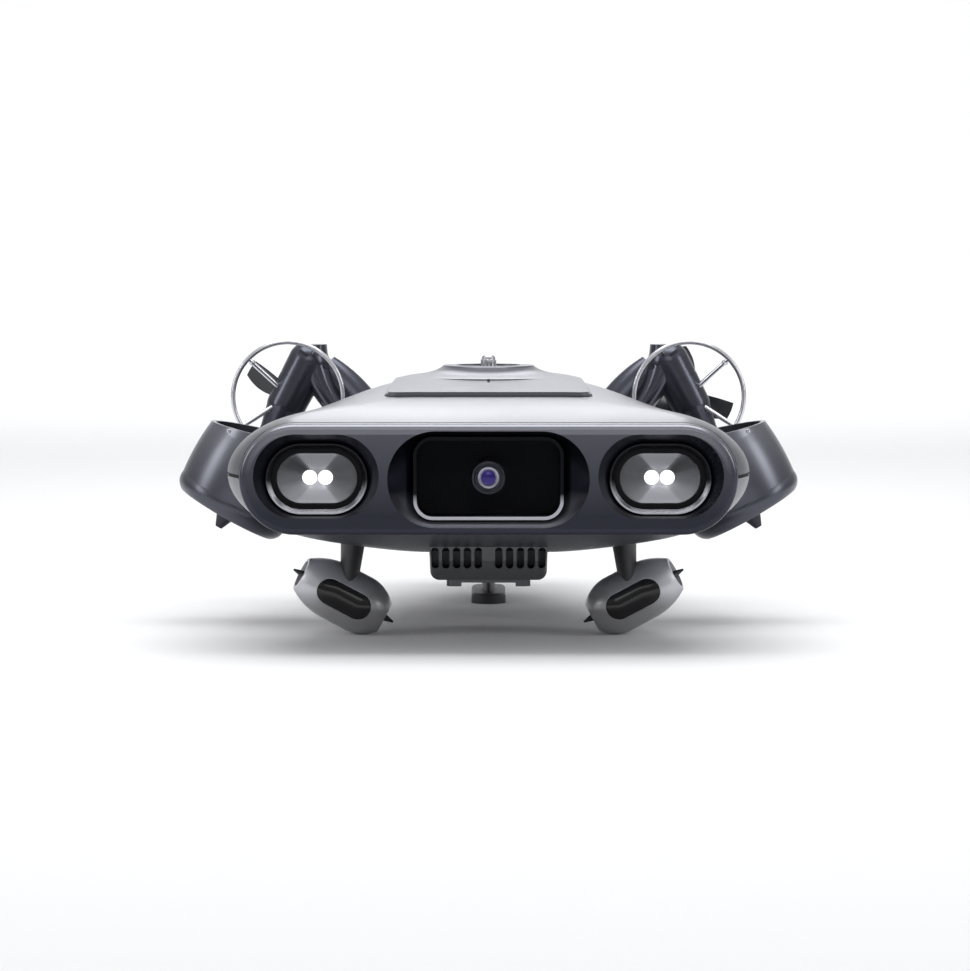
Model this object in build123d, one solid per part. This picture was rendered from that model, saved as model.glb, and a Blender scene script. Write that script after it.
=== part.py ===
from build123d import *
from functools import cache
import math
import os

# Compact six-thruster inspection vehicle, millimetres.
# +X is port, -Y is the front that carries the lamps and the camera, +Z is up.
# The origin is on the ground, under the middle of the vehicle.

# Overall hull
FRONT_Y = -195.0
REAR_Y = 195.0
SEAM_Z = 91.0
SPACE = 250.0
EPSILON = 0.01
WALL = 3.0
SEAT_GAP = 0.2
SEAM_HALF = 0.9
SEAM_SINK = 0.6
SEAL_DEPTH = 1.8

# Hull stations: place along the hull, half width, underside, deck, flat half widths
NOSE_Y, NOSE_HALF, NOSE_LOW, NOSE_TOP, NOSE_FLAT = -180.8, 128.0, 61.8, 118.9, 98.0
BROW_Y, BROW_HALF, BROW_LOW, BROW_TOP, BROW_FLAT = -160.0, 134.5, 56.0, 123.5, 85.0
CHEST_Y, CHEST_HALF, CHEST_LOW, CHEST_TOP, CHEST_FLAT = -110.0, 130.0, 46.5, 129.3, 40.0
NECK_Y, NECK_HALF, NECK_LOW, NECK_TOP, NECK_FLAT = -60.0, 112.0, 42.0, 133.0, 35.0
MID_Y, MID_HALF, MID_LOW, MID_TOP, MID_FLAT = 0.0, 90.0, 40.0, 135.5, 28.0
LOIN_Y, LOIN_HALF, LOIN_LOW, LOIN_TOP, LOIN_FLAT = 60.0, 70.0, 41.0, 131.0, 22.0
TAIL_Y, TAIL_HALF, TAIL_LOW, TAIL_TOP, TAIL_FLAT = 130.0, 55.0, 47.0, 119.0, 16.0
END_Y, END_HALF, END_LOW, END_TOP, END_FLAT = 188.0, 38.0, 60.0, 105.0, 10.0
LOW_FLAT_SHARE = 0.86
NOSE_HOLE_DEPTH = 6.0

# Front mask
MASK_HALF = 127.0
MASK_HEIGHT = 56.6
MASK_Z = 90.4
MASK_ROUND = 3.2

# Head lamps
LAMP_X = 87.7
LAMP_MOUTH = (64.0, 43.0)
LAMP_MOUTH_RISE = 1.6
LAMP_SEAT = (52.3, 36.6)
LAMP_SEAT_DEPTH = 8.0
LAMP_RING_CLEAR = 0.3
LAMP_RING_WIDTH = 2.4
LAMP_RING_PROUD = 1.6
LAMP_GASKET_SINK = 1.0
LAMP_GASKET_WIDTH = 2.5
LAMP_LENS_THICK = 3.0
LAMP_LENS_SINK = 1.4
LAMP_LENS_ROUND = 0.8
REFLECTOR_DEPTH = 12.0
REFLECTOR_FLOOR = (19.0, 11.0)
REFLECTOR_BOWL_DEPTH = 8.0
REFLECTOR_LAND = 1.2
LED_RADIUS = 3.9
LED_PITCH = 8.1
LED_RISE = 2.4
LED_BOARD = (18.0, 10.0)
LED_BOARD_THICK = 1.2
LED_SINK = 0.6

# Camera
CAMERA_MOUTH = (103.0, 49.4)
CAMERA_MOUTH_ROUND = 24.4
WINDOW = (73.0, 38.6)
WINDOW_ROUND = 8.0
WINDOW_THICK = 3.0
WINDOW_DEPTH = 13.0
TRIM_WIDTH = 1.9
TRIM_PROUD = 1.0
TRIM_CLEAR = 0.2
CAMERA_BOX_DEPTH = 34.0
CAMERA_BOX_WALL = 2.5
BARREL_RADIUS = 8.7
BARREL_START = 1.5
BARREL_STEP_RADIUS = 7.0
BARREL_STEP_DEPTH = 1.6
LENS_RADIUS = 4.6
LENS_LENGTH = 10.0
LENS_SINK = 1.5
LENS_CROWN = 1.2
LENS_BORE_DEPTH = 12.0
DOME_FLAT = 0.4
DOME_BEND_SHARE = 0.6

# Raised deck panel with its round port and thumb screw
PANEL_RISE = 2.2
PANEL_FRONT_Y = -112.0
PANEL_REAR_Y = 74.0
PANEL_FRONT_HALF = 54.8
PANEL_REAR_HALF = 49.0
PANEL_ROUND = 8.0
PANEL_BEVEL = 0.8
PORT_Y = -10.0
PORT_TOP_Z = 142.2
PORT_RIM_RADIUS = 24.4
PORT_SHOULDER = (25.35, 141.95)
PORT_FLARE = ((25.9, 141.3), (31.0, 138.9), (38.0, 137.4), (47.0, 136.0))
PORT_LID_RADIUS = 17.3
PORT_LID_SINK = 1.0
PORT_LID_DEPTH = 4.0
PORT_LID_CLEAR = 0.3
PORT_LID_CHAMFER = 0.5
PORT_WELL_RADIUS = 6.4
PORT_WELL_DEPTH = 0.6
KNOB_RADIUS = 4.4
KNOB_HEIGHT = 7.0
KNOB_FLUTES = 18
KNOB_FLUTE_RADIUS = 0.45
KNOB_BAND = 2.4
KNOB_ROUND = 1.6
KNOB_STEM_RADIUS = 2.0
RUN_CLEAR = 0.06
RUN_GAP = 0.3
STATUS_Y = -62.0
STATUS_SIZE = (1.4, 12.0)
STATUS_CLEAR = 0.15
STATUS_SINK = 0.3

# Upper thrusters, in the open behind the shoulders
UPPER_X = 114.7
UPPER_Z = 122.2
ARM_Y = 50.0
GUARD_Y = 35.6
GUARD_RADIUS = 31.4
GUARD_WIRE = 1.35
HEAD_X = 103.5
HEAD_Z = 141.7
HEAD_RADIUS = 12.0
HEAD_TOP_Z = 151.9
LEG_X = 116.4
LEG_Z = 117.0
LEG_RADIUS = 11.3
FOOT_X = 124.0
FOOT_Z = 102.0
FOOT_RADIUS = 8.0
LEG_SEAM_X = 108.7
LEG_SEAM_Z = 131.8
LEG_SEAM_WIDTH = 0.7
LEG_SEAM_RADIUS = 11.3
HEAD_SLIT = (7.4, 1.7)
HEAD_SLIT_X = 106.5
HEAD_SLIT_Z = 147.6
HEAD_SLIT_TURN = -33.0
HEAD_SLIT_SINK = 3.6
HEAD_EYE_X = 93.4
HEAD_EYE_Z = 139.5
HEAD_EYE_RADIUS = 1.9
HEAD_EYE_SINK = 9.0
COLUMN_STATIONS = (
    (86.0, 57.0, 12.0, 12.0),
    (104.0, 77.0, 10.0, 12.0),
    (121.5, 92.0, 8.2, 11.5),
    (139.5, 100.0, 8.7, 10.5),
    (HEAD_TOP_Z, 99.0, 6.1, 8.5),
)
FIN_Y = 53.0
FIN_ROOT_X = 64.0
FIN_ROOT_Z = 106.0
FIN_ROOT_HALF = 8.5
FIN_MIDDLE_HALF = 9.7
FIN_TIP_HALF = 7.2
FIN_MIDDLE_SHARE = 0.76
FIN_ROOT_THICK = 11.0
FIN_MIDDLE_THICK = 7.5
FIN_TIP_THICK = 5.5
FIN_TIP_X = 94.2
FIN_TIP_Z = 139.9
BALL_X = 135.2
BALL_Z = 141.9
BALL_RADIUS = 1.95
BRACE_X = 140.5
BRACE_Z = 105.5
SPOKE_SINK = 3.0
UPPER_MOTOR_RADIUS = 9.5
UPPER_MOTOR_LENGTH = 15.0
UPPER_MOTOR_ROUND = 1.2
UPPER_BLADE_RADIUS = 28.0
UPPER_BLADE_CHORD = 17.0
UPPER_HUB_RADIUS = 7.5
UPPER_HUB_LENGTH = 13.0
UPPER_TURN_PORT = 30.0
UPPER_TURN_STARBOARD = 96.0
SHAFT_RADIUS = 1.5
SHAFT_LENGTH = 6.0
SHAFT_END_GAP = 1.0
BLADE_COUNT = 3
BLADE_ROOT_THICK = 2.4
BLADE_TIP_THICK = 1.1
BLADE_SWELL = 1.4
BLADE_CAMBER = 0.05
BLADE_ROOT_PITCH = 38.0
BLADE_TIP_PITCH = 20.0
BLADE_ROOT_SHARE = 0.66
BLADE_TIP_SHARE = 0.62
BLADE_SWEEP_SHARE = 0.3
BLADE_ROOT_SINK = 1.5
BLADE_LIFT = 1.2
BLADE_STATIONS = (0.0, 0.4, 0.75, 1.08)
HUB_NOSE_SHARE = 0.4
HUB_NOSE_BEND = (0.78, 0.36)
HUB_TIP_RADIUS = 1.0

# Side thrusters, ducted and tilted
DUCT_TILT = 30.0
DUCT_X = 143.7
DUCT_Y = -28.0
DUCT_Z = 63.6
DUCT_RADIUS = 32.5
DUCT_WALL = 2.4
DUCT_BULGE = 1.0
DUCT_MOUTH_SLOPE = 13.0
DUCT_OUTER_LENGTH = 37.2
DUCT_INNER_LENGTH = 80.0
DUCT_LIP_THICK = 1.2
DUCT_LIP_DRAW = 2.6
DUCT_LIP_LOW = -3.6
DUCT_LIP_OUTER = 5.4
DUCT_LIP_INNER = 4.4
SCOOP_DEPTH = 60.0
SCOOP_LENGTH = 135.0
INTAKE_SHIFT = 6.0
INTAKE_RISE = 25.0
INTAKE_HEIGHT = 90.0
INTAKE_GROW = 1.0
SIDE_MOTOR_RADIUS = 8.0
SIDE_MOTOR_LENGTH = 16.0
SIDE_CONE_LENGTH = 12.5
SIDE_CONE_TIP = 2.0
SIDE_CONE_TOP = 1.0
SIDE_VANES = 4
SIDE_VANE_TURN = 45.0
SIDE_VANE_LOW = 8.2
SIDE_VANE_THICK = 2.0
SIDE_VANE_HEIGHT = 7.0
SIDE_TIP_CLEAR = 1.2
SIDE_HUB_LENGTH = 13.0
SIDE_BLADE_CHORD = 18.0
SIDE_TURN = 40.0

# Lower thrusters, small tunnels under the chest
POD_X = 77.3
POD_Y = -90.0
POD_TILT = 28.0
POD_RADIUS = 15.9
POD_INNER_LENGTH = 24.2
POD_INNER_STRAIGHT = 8.0
POD_INNER_RADIUS = 8.3
POD_OUTER_LENGTH = 28.4
POD_OUTER_STRAIGHT = 6.0
POD_OUTER_RADIUS = 7.8
POD_MOUTH_TURN = 9.0
POD_MOUTH_SHIFT = 26.6
TUNNEL_RADIUS = 7.4
INSET_SIZE = (31.4, 14.6)
INSET_DEPTH = 2.6
INSET_CLEAR = 0.25
INSET_SINK = 0.5
POD_CORE_RADIUS = 3.0
POD_CORE_END = -29.3
POD_CORE_LENGTH = 44.2
POD_TIP_LENGTH = 9.0
POD_TIP_END = 31.3
POD_TIP_RADIUS = 0.5
POD_SHAFT_RADIUS = 1.0
POD_VANES = 3
POD_VANE_THICK = 1.4
POD_VANE_LOW = -8.0
POD_VANE_HEIGHT = 14.0
POD_BLADES = 4
POD_BLADE_LIFT = 3.6
POD_BLADE_SINK = 0.8
POD_BLADE_CHORDS = (5.0, 6.2)
POD_BLADE_PITCHES = (45.0, 30.0)
POD_BLADE_SWEEP = 1.0
POD_TIP_CLEAR = 0.5
STRUT_LOW_SIZE = (12.0, 4.5)
STRUT_LOW_SHIFT = 2.0
STRUT_LOW_RISE = 4.0
STRUT_TOP_SIZE = (21.0, 7.5)
STRUT_TOP_SHIFT = 4.0
STRUT_TOP_Z = 60.5
STRUT_X = 72.0

# Belly keel with cooling slots, accessory rail and rear skid
KEEL_HALF = 31.0
KEEL_FRONT_Y = -143.0
KEEL_BROW_Z = 44.5
KEEL_LOW_Z = 32.0
KEEL_TOP_Z = 71.0
KEEL_BROW_RUN = 24.0
KEEL_BACK_Y = 70.0
KEEL_BACK_Z = 51.0
KEEL_BACK_RUN = 50.0
KEEL_ROUND = 5.0
KEEL_ROUND_BAND = 8.0
SLOT_COUNT_SIDE = 5
SLOT_WIDTH = 3.9
SLOT_PITCH = 5.65
SLOT_FIRST_X = 5.4
SLOT_DEPTH = 26.0
SLOT_HEIGHT = 12.0
SLOT_TOP_Z = 51.4
RAIL_HALF = 22.5
RAIL_THICK = 5.0
RAIL_LENGTH = 64.0
RAIL_Y = -70.0
RAIL_HOLE_RADIUS = 1.6
RAIL_HOLE_SPACING = (36.0, 46.0)
RAIL_ROUND = 4.0
RAIL_GROOVE_LAND = 8.0
RAIL_GROOVE_DEPTH = 2.0
RAIL_FOOT_HALF = 3.9
RAIL_FOOT_LENGTH = 24.0
SKID_FRONT_Y = 66.0
SKID_BACK_Y = 130.0
SKID_HALF = 10.0
SKID_FOOT = 6.0
SKID_ROUND = 2.0
SKID_END_ROUND = 9.5
SKID_WEB_SINK = 2.0
SKID_WEB_LOW = (3.5, 24.0)
SKID_WEB_TOP = (5.5, 34.0)
SKID_WEB_LEAN = 2.0
SKID_TOP_Z = 60.0

# Rear cap and tether socket
SOCKET_Z = 82.0
SOCKET_RADIUS = 11.0
SOCKET_BORE = 5.5
SOCKET_BORE_DEPTH = 12.0
SOCKET_LENGTH = 22.0
SOCKET_SINK = 0.6
SOCKET_CHAMFER = 0.8
SOCKET_SEAT_DEPTH = 5.0
CAP_ROUND = 3.0

# Inner pieces
BATTERY = (72.0, 130.0, 34.0)
BATTERY_Y = 30.0
BATTERY_LOW_Z = 54.0
BATTERY_ROUND = 6.0
BATTERY_CLEAR = 2.0
BED_MARGIN = 4.0
BED_LOW_Z = 30.0
TRAY = (64.0, 120.0, 2.0)
BOARD = (56.0, 100.0, 1.6)
BOARD_POST = 5.0
BOARD_POST_RADIUS = 2.5
BOARD_POST_INSET = 4.0
CHIP_SIZE = (12.0, 12.0, 3.0)
CHIP_SPACING = (22.0, 28.0)

STATIONS = (
    (NOSE_Y, NOSE_HALF, NOSE_LOW, NOSE_TOP, NOSE_FLAT),
    (BROW_Y, BROW_HALF, BROW_LOW, BROW_TOP, BROW_FLAT),
    (CHEST_Y, CHEST_HALF, CHEST_LOW, CHEST_TOP, CHEST_FLAT),
    (NECK_Y, NECK_HALF, NECK_LOW, NECK_TOP, NECK_FLAT),
    (MID_Y, MID_HALF, MID_LOW, MID_TOP, MID_FLAT),
    (LOIN_Y, LOIN_HALF, LOIN_LOW, LOIN_TOP, LOIN_FLAT),
    (TAIL_Y, TAIL_HALF, TAIL_LOW, TAIL_TOP, TAIL_FLAT),
    (END_Y, END_HALF, END_LOW, END_TOP, END_FLAT),
)


def box(x0, x1, y0, y1, z0, z1):
    """An upright block between two corners."""
    middle = Pos((x0 + x1) / 2, (y0 + y1) / 2, (z0 + z1) / 2)
    return middle * Box(x1 - x0, y1 - y0, z1 - z0)


def slab(z0, z1):
    """A wide level layer between two heights."""
    return box(-SPACE, SPACE, -SPACE, SPACE, z0, z1)


def rod(plane, radius, length):
    """A round bar that starts on a plane and follows its normal."""
    return plane.location * Cylinder(radius, length, align=(Align.CENTER, Align.CENTER, Align.MIN))


def post(z, radius, height):
    """An upright round post in the middle of the deck port."""
    return rod(Plane(origin=(0, PORT_Y, z)), radius, height)


def across(y, x=0.0, z=MASK_Z):
    """A plane across the hull whose normal points to the rear."""
    return Plane(origin=(x, y, z), x_dir=(1, 0, 0), z_dir=(0, 1, 0))


def one(shape):
    """The single largest solid of a shape."""
    return max(shape.solids(), key=lambda solid: solid.volume)


def front_edges(shape, y):
    """The edges of a shape that lie at one place along the hull."""
    return shape.edges().filter_by_position(Axis.Y, y - EPSILON, y + EPSILON)


def quarter(center, across_radius, up_radius, start):
    """A quarter of an ellipse, turning from its start angle."""
    return EllipticalCenterArc(center, across_radius, up_radius, start, arc_size=90)


def hull_section(y, half, low, top, flat, inset):
    """One cross section: flat deck and belly with quarter ellipses between."""
    width = half - inset
    rise = top - inset - SEAM_Z
    drop = SEAM_Z - low - inset
    low_flat = flat * LOW_FLAT_SHARE
    upper = quarter((flat, 0), width - flat, rise, 0)
    deck = Line((flat, rise), (-flat, rise))
    upper_far = quarter((-flat, 0), width - flat, rise, 90)
    lower_far = quarter((-low_flat, 0), width - low_flat, drop, 180)
    belly = Line((-low_flat, -drop), (low_flat, -drop))
    lower = quarter((low_flat, 0), width - low_flat, drop, 270)
    outline = make_face([upper, deck, upper_far, lower_far, belly, lower])
    plane = Plane(origin=(0, y, SEAM_Z), x_dir=(1, 0, 0), z_dir=(0, -1, 0))
    return plane * outline


@cache
def hull_form(inset=0.0):
    """The whole hull as one smooth loft, drawn in by a wall or let out by a gap."""
    return loft([hull_section(*station, inset) for station in STATIONS])


def duct_plane(along=0.0):
    """Middle of the side duct, with its normal up the duct towards the hull."""
    tilt = math.radians(DUCT_TILT)
    axis = Vector(-math.sin(tilt), 0, math.cos(tilt))
    origin = Vector(DUCT_X, DUCT_Y, DUCT_Z) + axis * along
    return Plane(origin=origin, x_dir=(0, 1, 0), z_dir=axis)


def duct_mouth_plane():
    """The sloping plane that trims the top of the side duct."""
    tilt = math.radians(DUCT_TILT)
    slope = math.radians(DUCT_MOUTH_SLOPE)
    edge_x = DUCT_X + DUCT_RADIUS * math.cos(tilt) - DUCT_OUTER_LENGTH * math.sin(tilt)
    edge_z = DUCT_Z + DUCT_RADIUS * math.sin(tilt) + DUCT_OUTER_LENGTH * math.cos(tilt)
    return Plane(origin=(edge_x, DUCT_Y, edge_z), x_dir=(0, 1, 0),
                 z_dir=(-math.sin(slope), 0, math.cos(slope)))


def duct_scoop(grow):
    """The space of the side duct and its intake, which the hull keeps clear of."""
    radius = DUCT_RADIUS + DUCT_BULGE + grow
    tube = rod(duct_plane(-SCOOP_DEPTH), radius, SCOOP_LENGTH)
    tube = split(tube, bisect_by=duct_mouth_plane(), keep=Keep.BOTTOM)
    across_duct = radius * math.cos(math.radians(DUCT_TILT))
    middle_x = duct_mouth_plane().origin.X - across_duct - INTAKE_SHIFT
    floor = Plane(origin=(middle_x, DUCT_Y, DUCT_Z + INTAKE_RISE))
    return tube + rod(floor, radius + INTAKE_GROW, INTAKE_HEIGHT)


def both_sides(shape):
    """A port shape together with its starboard twin."""
    return shape + mirror(shape, about=Plane.YZ)


def hull_shell():
    """Hollow hull, scooped round both side ducts and open at the nose."""
    outer = hull_form() - both_sides(duct_scoop(SEAT_GAP))
    cavity = hull_form(WALL) - both_sides(duct_scoop(SEAT_GAP + WALL))
    nose = SlotOverall(2 * (NOSE_HALF - 2 * WALL), NOSE_TOP - NOSE_LOW - 2 * WALL)
    return outer - cavity - extrude(across(NOSE_Y - 1) * nose, NOSE_HOLE_DEPTH)


def upper_shell(shell):
    """Deck half of the hull, down to the seam."""
    return one(shell & slab(SEAM_Z + SEAM_HALF, SPACE))


def lower_shell(shell):
    """Belly half of the hull, up to the seam."""
    return one(shell & slab(0, SEAM_Z - SEAM_HALF))


def seam_seal():
    """Rubber cord between the two hull halves."""
    ring = hull_form(SEAM_SINK) - hull_form(SEAM_SINK + SEAL_DEPTH)
    ring = ring - both_sides(duct_scoop(SEAT_GAP + SEAM_SINK))
    low = SEAM_Z - SEAM_HALF
    high = SEAM_Z + SEAM_HALF
    return ring & box(-SPACE, SPACE, NOSE_Y + 1, END_Y - 1, low, high)


def front_mask():
    """Wide oval mask with bevelled recesses for the camera and both lamps."""
    depth = NOSE_Y - SEAT_GAP - FRONT_Y
    mask = extrude(across(FRONT_Y) * SlotOverall(2 * MASK_HALF, MASK_HEIGHT), depth)
    mask = fillet(front_edges(mask, FRONT_Y), MASK_ROUND)
    for x in (-LAMP_X, LAMP_X):
        mouth = across(FRONT_Y - EPSILON, x, MASK_Z + LAMP_MOUTH_RISE) * SlotOverall(*LAMP_MOUTH)
        seat = across(FRONT_Y + LAMP_SEAT_DEPTH, x) * SlotOverall(*LAMP_SEAT)
        mask -= loft([mouth, seat], ruled=True)
        mask -= extrude(across(FRONT_Y + 1, x) * SlotOverall(*LAMP_SEAT), depth)
    mouth = across(FRONT_Y - EPSILON) * RectangleRounded(*CAMERA_MOUTH, CAMERA_MOUTH_ROUND)
    hole = window_outline(TRIM_WIDTH + TRIM_CLEAR)
    mask -= loft([mouth, across(FRONT_Y + WINDOW_DEPTH) * hole], ruled=True)
    mask -= extrude(across(FRONT_Y + 1) * hole, depth)
    return one(mask)


def window_outline(grow):
    """Rounded outline of the camera window, let out by a margin."""
    return RectangleRounded(WINDOW[0] + 2 * grow, WINDOW[1] + 2 * grow, WINDOW_ROUND + grow)


def window_trim():
    """Thin metal frame round the camera window."""
    plane = across(FRONT_Y + WINDOW_DEPTH - TRIM_PROUD - WINDOW_THICK)
    ring = extrude(plane * window_outline(TRIM_WIDTH), WINDOW_THICK + TRIM_PROUD)
    ring -= extrude(plane * window_outline(TRIM_CLEAR), WINDOW_THICK + TRIM_PROUD)
    return one(ring)


def camera_window():
    """Flat window in front of the camera."""
    plane = across(FRONT_Y + WINDOW_DEPTH - WINDOW_THICK)
    return one(extrude(plane * window_outline(0), WINDOW_THICK - SEAT_GAP))


def camera_housing():
    """Open box behind the window, with the lens barrel standing in it."""
    start = NOSE_Y - SEAT_GAP + EPSILON
    clear = TRIM_WIDTH + TRIM_CLEAR
    depth = CAMERA_BOX_DEPTH - CAMERA_BOX_WALL
    body = extrude(across(start) * window_outline(clear + CAMERA_BOX_WALL), CAMERA_BOX_DEPTH)
    pocket = extrude(across(start) * window_outline(clear), depth)
    barrel_plane = across(start + BARREL_START)
    barrel = rod(barrel_plane, BARREL_RADIUS, depth - BARREL_START)
    step = rod(barrel_plane, BARREL_STEP_RADIUS, BARREL_STEP_DEPTH)
    eye = rod(barrel_plane, LENS_RADIUS + RUN_GAP, LENS_BORE_DEPTH)
    return one(body - pocket + barrel - step - eye)


def domed_rod(y, x, radius, crown, length):
    """A round bar along the hull, with a domed front."""
    bulge = (radius**2 + crown**2) / (2 * crown)
    bend_radius = radius * DOME_BEND_SHARE
    bend_depth = bulge - math.sqrt(bulge**2 - bend_radius**2)
    outline = make_face([
        Line((0, 0), (DOME_FLAT, 0)),
        ThreePointArc((DOME_FLAT, 0), (bend_radius, bend_depth), (radius, crown)),
        Line((radius, crown), (radius, length)),
        Line((radius, length), (0, length)),
        Line((0, length), (0, 0)),
    ])
    return spin(outline, across(y, x))


def camera_lens():
    """Front lens element with a crowned face, standing in the barrel."""
    front = NOSE_Y + BARREL_START + LENS_SINK - LENS_CROWN
    return one(domed_rod(front, 0, LENS_RADIUS, LENS_CROWN, LENS_LENGTH))


def lamp_shape(shrink):
    """Oval of the lamp seat, drawn in by a margin."""
    return SlotOverall(LAMP_SEAT[0] - 2 * shrink, LAMP_SEAT[1] - 2 * shrink)


def lamp_ring():
    """Chamfered metal ring in the lamp recess."""
    start = FRONT_Y + LAMP_SEAT_DEPTH - LAMP_RING_PROUD
    depth = NOSE_Y - SEAT_GAP - start
    ring = extrude(across(start, LAMP_X) * lamp_shape(LAMP_RING_CLEAR), depth)
    bore = extrude(across(start, LAMP_X) * lamp_shape(LAMP_RING_CLEAR + LAMP_RING_WIDTH), depth)
    ring = ring - bore
    return one(chamfer_front(ring, start, LAMP_RING_PROUD))


def chamfer_front(ring, y, size):
    """Bevels the inner front edge of a ring."""
    front = ring.faces().filter_by_position(Axis.Y, y - EPSILON, y + EPSILON)
    return chamfer(front[0].inner_wires()[0].edges(), size)


def lamp_gasket():
    """Black rubber seal between the lamp ring and its lens."""
    outer = LAMP_RING_CLEAR + LAMP_RING_WIDTH + SEAT_GAP
    start = FRONT_Y + LAMP_SEAT_DEPTH + LAMP_GASKET_SINK
    depth = NOSE_Y - SEAT_GAP - start
    ring = extrude(across(start, LAMP_X) * lamp_shape(outer), depth)
    ring -= extrude(across(start, LAMP_X) * lamp_shape(outer + LAMP_GASKET_WIDTH), depth)
    return one(ring)


def lens_margin():
    """How far the lamp lens stands in from the oval of its seat."""
    return LAMP_RING_CLEAR + LAMP_RING_WIDTH + LAMP_GASKET_WIDTH + 2 * SEAT_GAP


def reflector_y():
    """Front of the lamp reflector, just behind its lens."""
    return FRONT_Y + LAMP_SEAT_DEPTH + LAMP_LENS_SINK + LAMP_LENS_THICK + SEAT_GAP


def lamp_lens():
    """Clear oval lens with a softened front edge."""
    start = FRONT_Y + LAMP_SEAT_DEPTH + LAMP_LENS_SINK
    lens = extrude(across(start, LAMP_X) * lamp_shape(lens_margin()), LAMP_LENS_THICK)
    return one(fillet(front_edges(lens, start), LAMP_LENS_ROUND))


def lamp_reflector():
    """Bowl that widens from the light board to the lens."""
    start = reflector_y()
    body = extrude(across(start, LAMP_X) * lamp_shape(lens_margin()), REFLECTOR_DEPTH)
    mouth = across(start - EPSILON, LAMP_X) * lamp_shape(lens_margin() + REFLECTOR_LAND)
    floor = across(start + REFLECTOR_BOWL_DEPTH, LAMP_X) * SlotOverall(*REFLECTOR_FLOOR)
    return one(body - loft([mouth, floor], ruled=True))


def lamp_leds():
    """Small board with two light domes side by side."""
    front = reflector_y() + REFLECTOR_BOWL_DEPTH - SEAT_GAP - LED_BOARD_THICK
    board = extrude(across(front, LAMP_X) * SlotOverall(*LED_BOARD), LED_BOARD_THICK)
    for side in (-0.5, 0.5):
        x = LAMP_X + side * LED_PITCH
        board += domed_rod(front - LED_RISE, x, LED_RADIUS, LED_RISE, LED_RISE + LED_SINK)
    return one(board)


def panel_outline(shrink):
    """Plan outline of the raised deck panel, narrower at the rear."""
    corners = [
        (-PANEL_FRONT_HALF + shrink, PANEL_FRONT_Y + shrink),
        (PANEL_FRONT_HALF - shrink, PANEL_FRONT_Y + shrink),
        (PANEL_REAR_HALF - shrink, PANEL_REAR_Y - shrink),
        (-PANEL_REAR_HALF + shrink, PANEL_REAR_Y - shrink),
    ]
    flat = make_face(Polyline(*corners, close=True))
    return fillet(flat.vertices(), PANEL_ROUND)


def port_rim():
    """Round rim of the port, flaring out into the deck panel."""
    first = PORT_FLARE[0]
    last = PORT_FLARE[-1]
    outline = make_face([
        Line((0, PORT_TOP_Z), (PORT_RIM_RADIUS, PORT_TOP_Z)),
        ThreePointArc((PORT_RIM_RADIUS, PORT_TOP_Z), PORT_SHOULDER, first),
        Spline(*PORT_FLARE),
        Line(last, (last[0], SEAM_Z)),
        Line((last[0], SEAM_Z), (0, SEAM_Z)),
        Line((0, SEAM_Z), (0, PORT_TOP_Z)),
    ])
    return spin(outline, Plane(origin=(0, PORT_Y, 0)))


def status_slot(clear):
    """Upright oval block for the light pipe in the deck panel."""
    shape = SlotOverall(STATUS_SIZE[1] - 2 * clear, STATUS_SIZE[0] - 2 * clear, rotation=90)
    return Pos(0, STATUS_Y, SEAM_Z) * extrude(shape, SPACE)


def deck_panel():
    """Raised panel that follows the deck and flares up to the rim of the round port."""
    skirt = extrude(panel_outline(0), SPACE) & hull_form(-PANEL_RISE + PANEL_BEVEL)
    inner = extrude(panel_outline(PANEL_BEVEL), SPACE)
    panel = skirt + (inner & hull_form(-PANEL_RISE)) + (inner & port_rim())
    panel = panel - hull_form(-SEAT_GAP / 2)
    seat = post(PORT_TOP_Z - PORT_LID_DEPTH, PORT_LID_RADIUS + PORT_LID_CLEAR, SPACE)
    return one(panel - seat - status_slot(0))


def status_light():
    """Slim light pipe in the deck panel, in front of the port."""
    pipe = status_slot(STATUS_CLEAR) & hull_form(-PANEL_RISE + STATUS_SINK)
    return one(pipe - hull_form(-SEAT_GAP / 2))


def port_lid():
    """Round lid sunk into the port, with a well and a bore for the thumb screw."""
    base = PORT_TOP_Z - PORT_LID_DEPTH + SEAT_GAP / 2
    top = PORT_TOP_Z - PORT_LID_SINK
    lid = post(base, PORT_LID_RADIUS, top - base)
    lid = chamfer(lid.edges().sort_by(Axis.Z)[-1], PORT_LID_CHAMFER)
    well = post(top - PORT_WELL_DEPTH, PORT_WELL_RADIUS, SPACE)
    bore = post(base - 1, KNOB_STEM_RADIUS + RUN_CLEAR, SPACE)
    return one(lid - well - bore)


def thumb_screw():
    """Domed thumb screw with a fluted waist, which closes the vent in the port lid."""
    seat = PORT_TOP_Z - PORT_LID_SINK - PORT_WELL_DEPTH + RUN_GAP
    stem_low = PORT_TOP_Z - PORT_LID_DEPTH + RUN_GAP
    knob = post(seat, KNOB_RADIUS, KNOB_HEIGHT)
    knob = fillet(knob.edges().sort_by(Axis.Z)[-1], KNOB_ROUND)
    flutes = PolarLocations(KNOB_RADIUS, KNOB_FLUTES, rotate=False)
    groove = post(seat, KNOB_FLUTE_RADIUS, KNOB_HEIGHT - KNOB_BAND)
    for place in flutes:
        knob -= place * groove
    stem = post(stem_low, KNOB_STEM_RADIUS, seat - stem_low + 1)
    return one(knob + stem)


def taper(start, end, radius_start, radius_end):
    """A round tapered bar between two points."""
    run = Vector(*end) - Vector(*start)
    low = Plane(origin=start, z_dir=run)
    high = Plane(origin=end, z_dir=run)
    return loft([low * Circle(radius_start), high * Circle(radius_end)])


def upper_column(grow):
    """Front column of the arm, swept up from the hull to the flat top of the head."""
    sections = []
    for z, x, half_x, half_y in COLUMN_STATIONS:
        plane = Plane(origin=(x, ARM_Y, z))
        sections.append(plane * Ellipse(half_x + grow, half_y + grow))
    return loft(sections)


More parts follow.
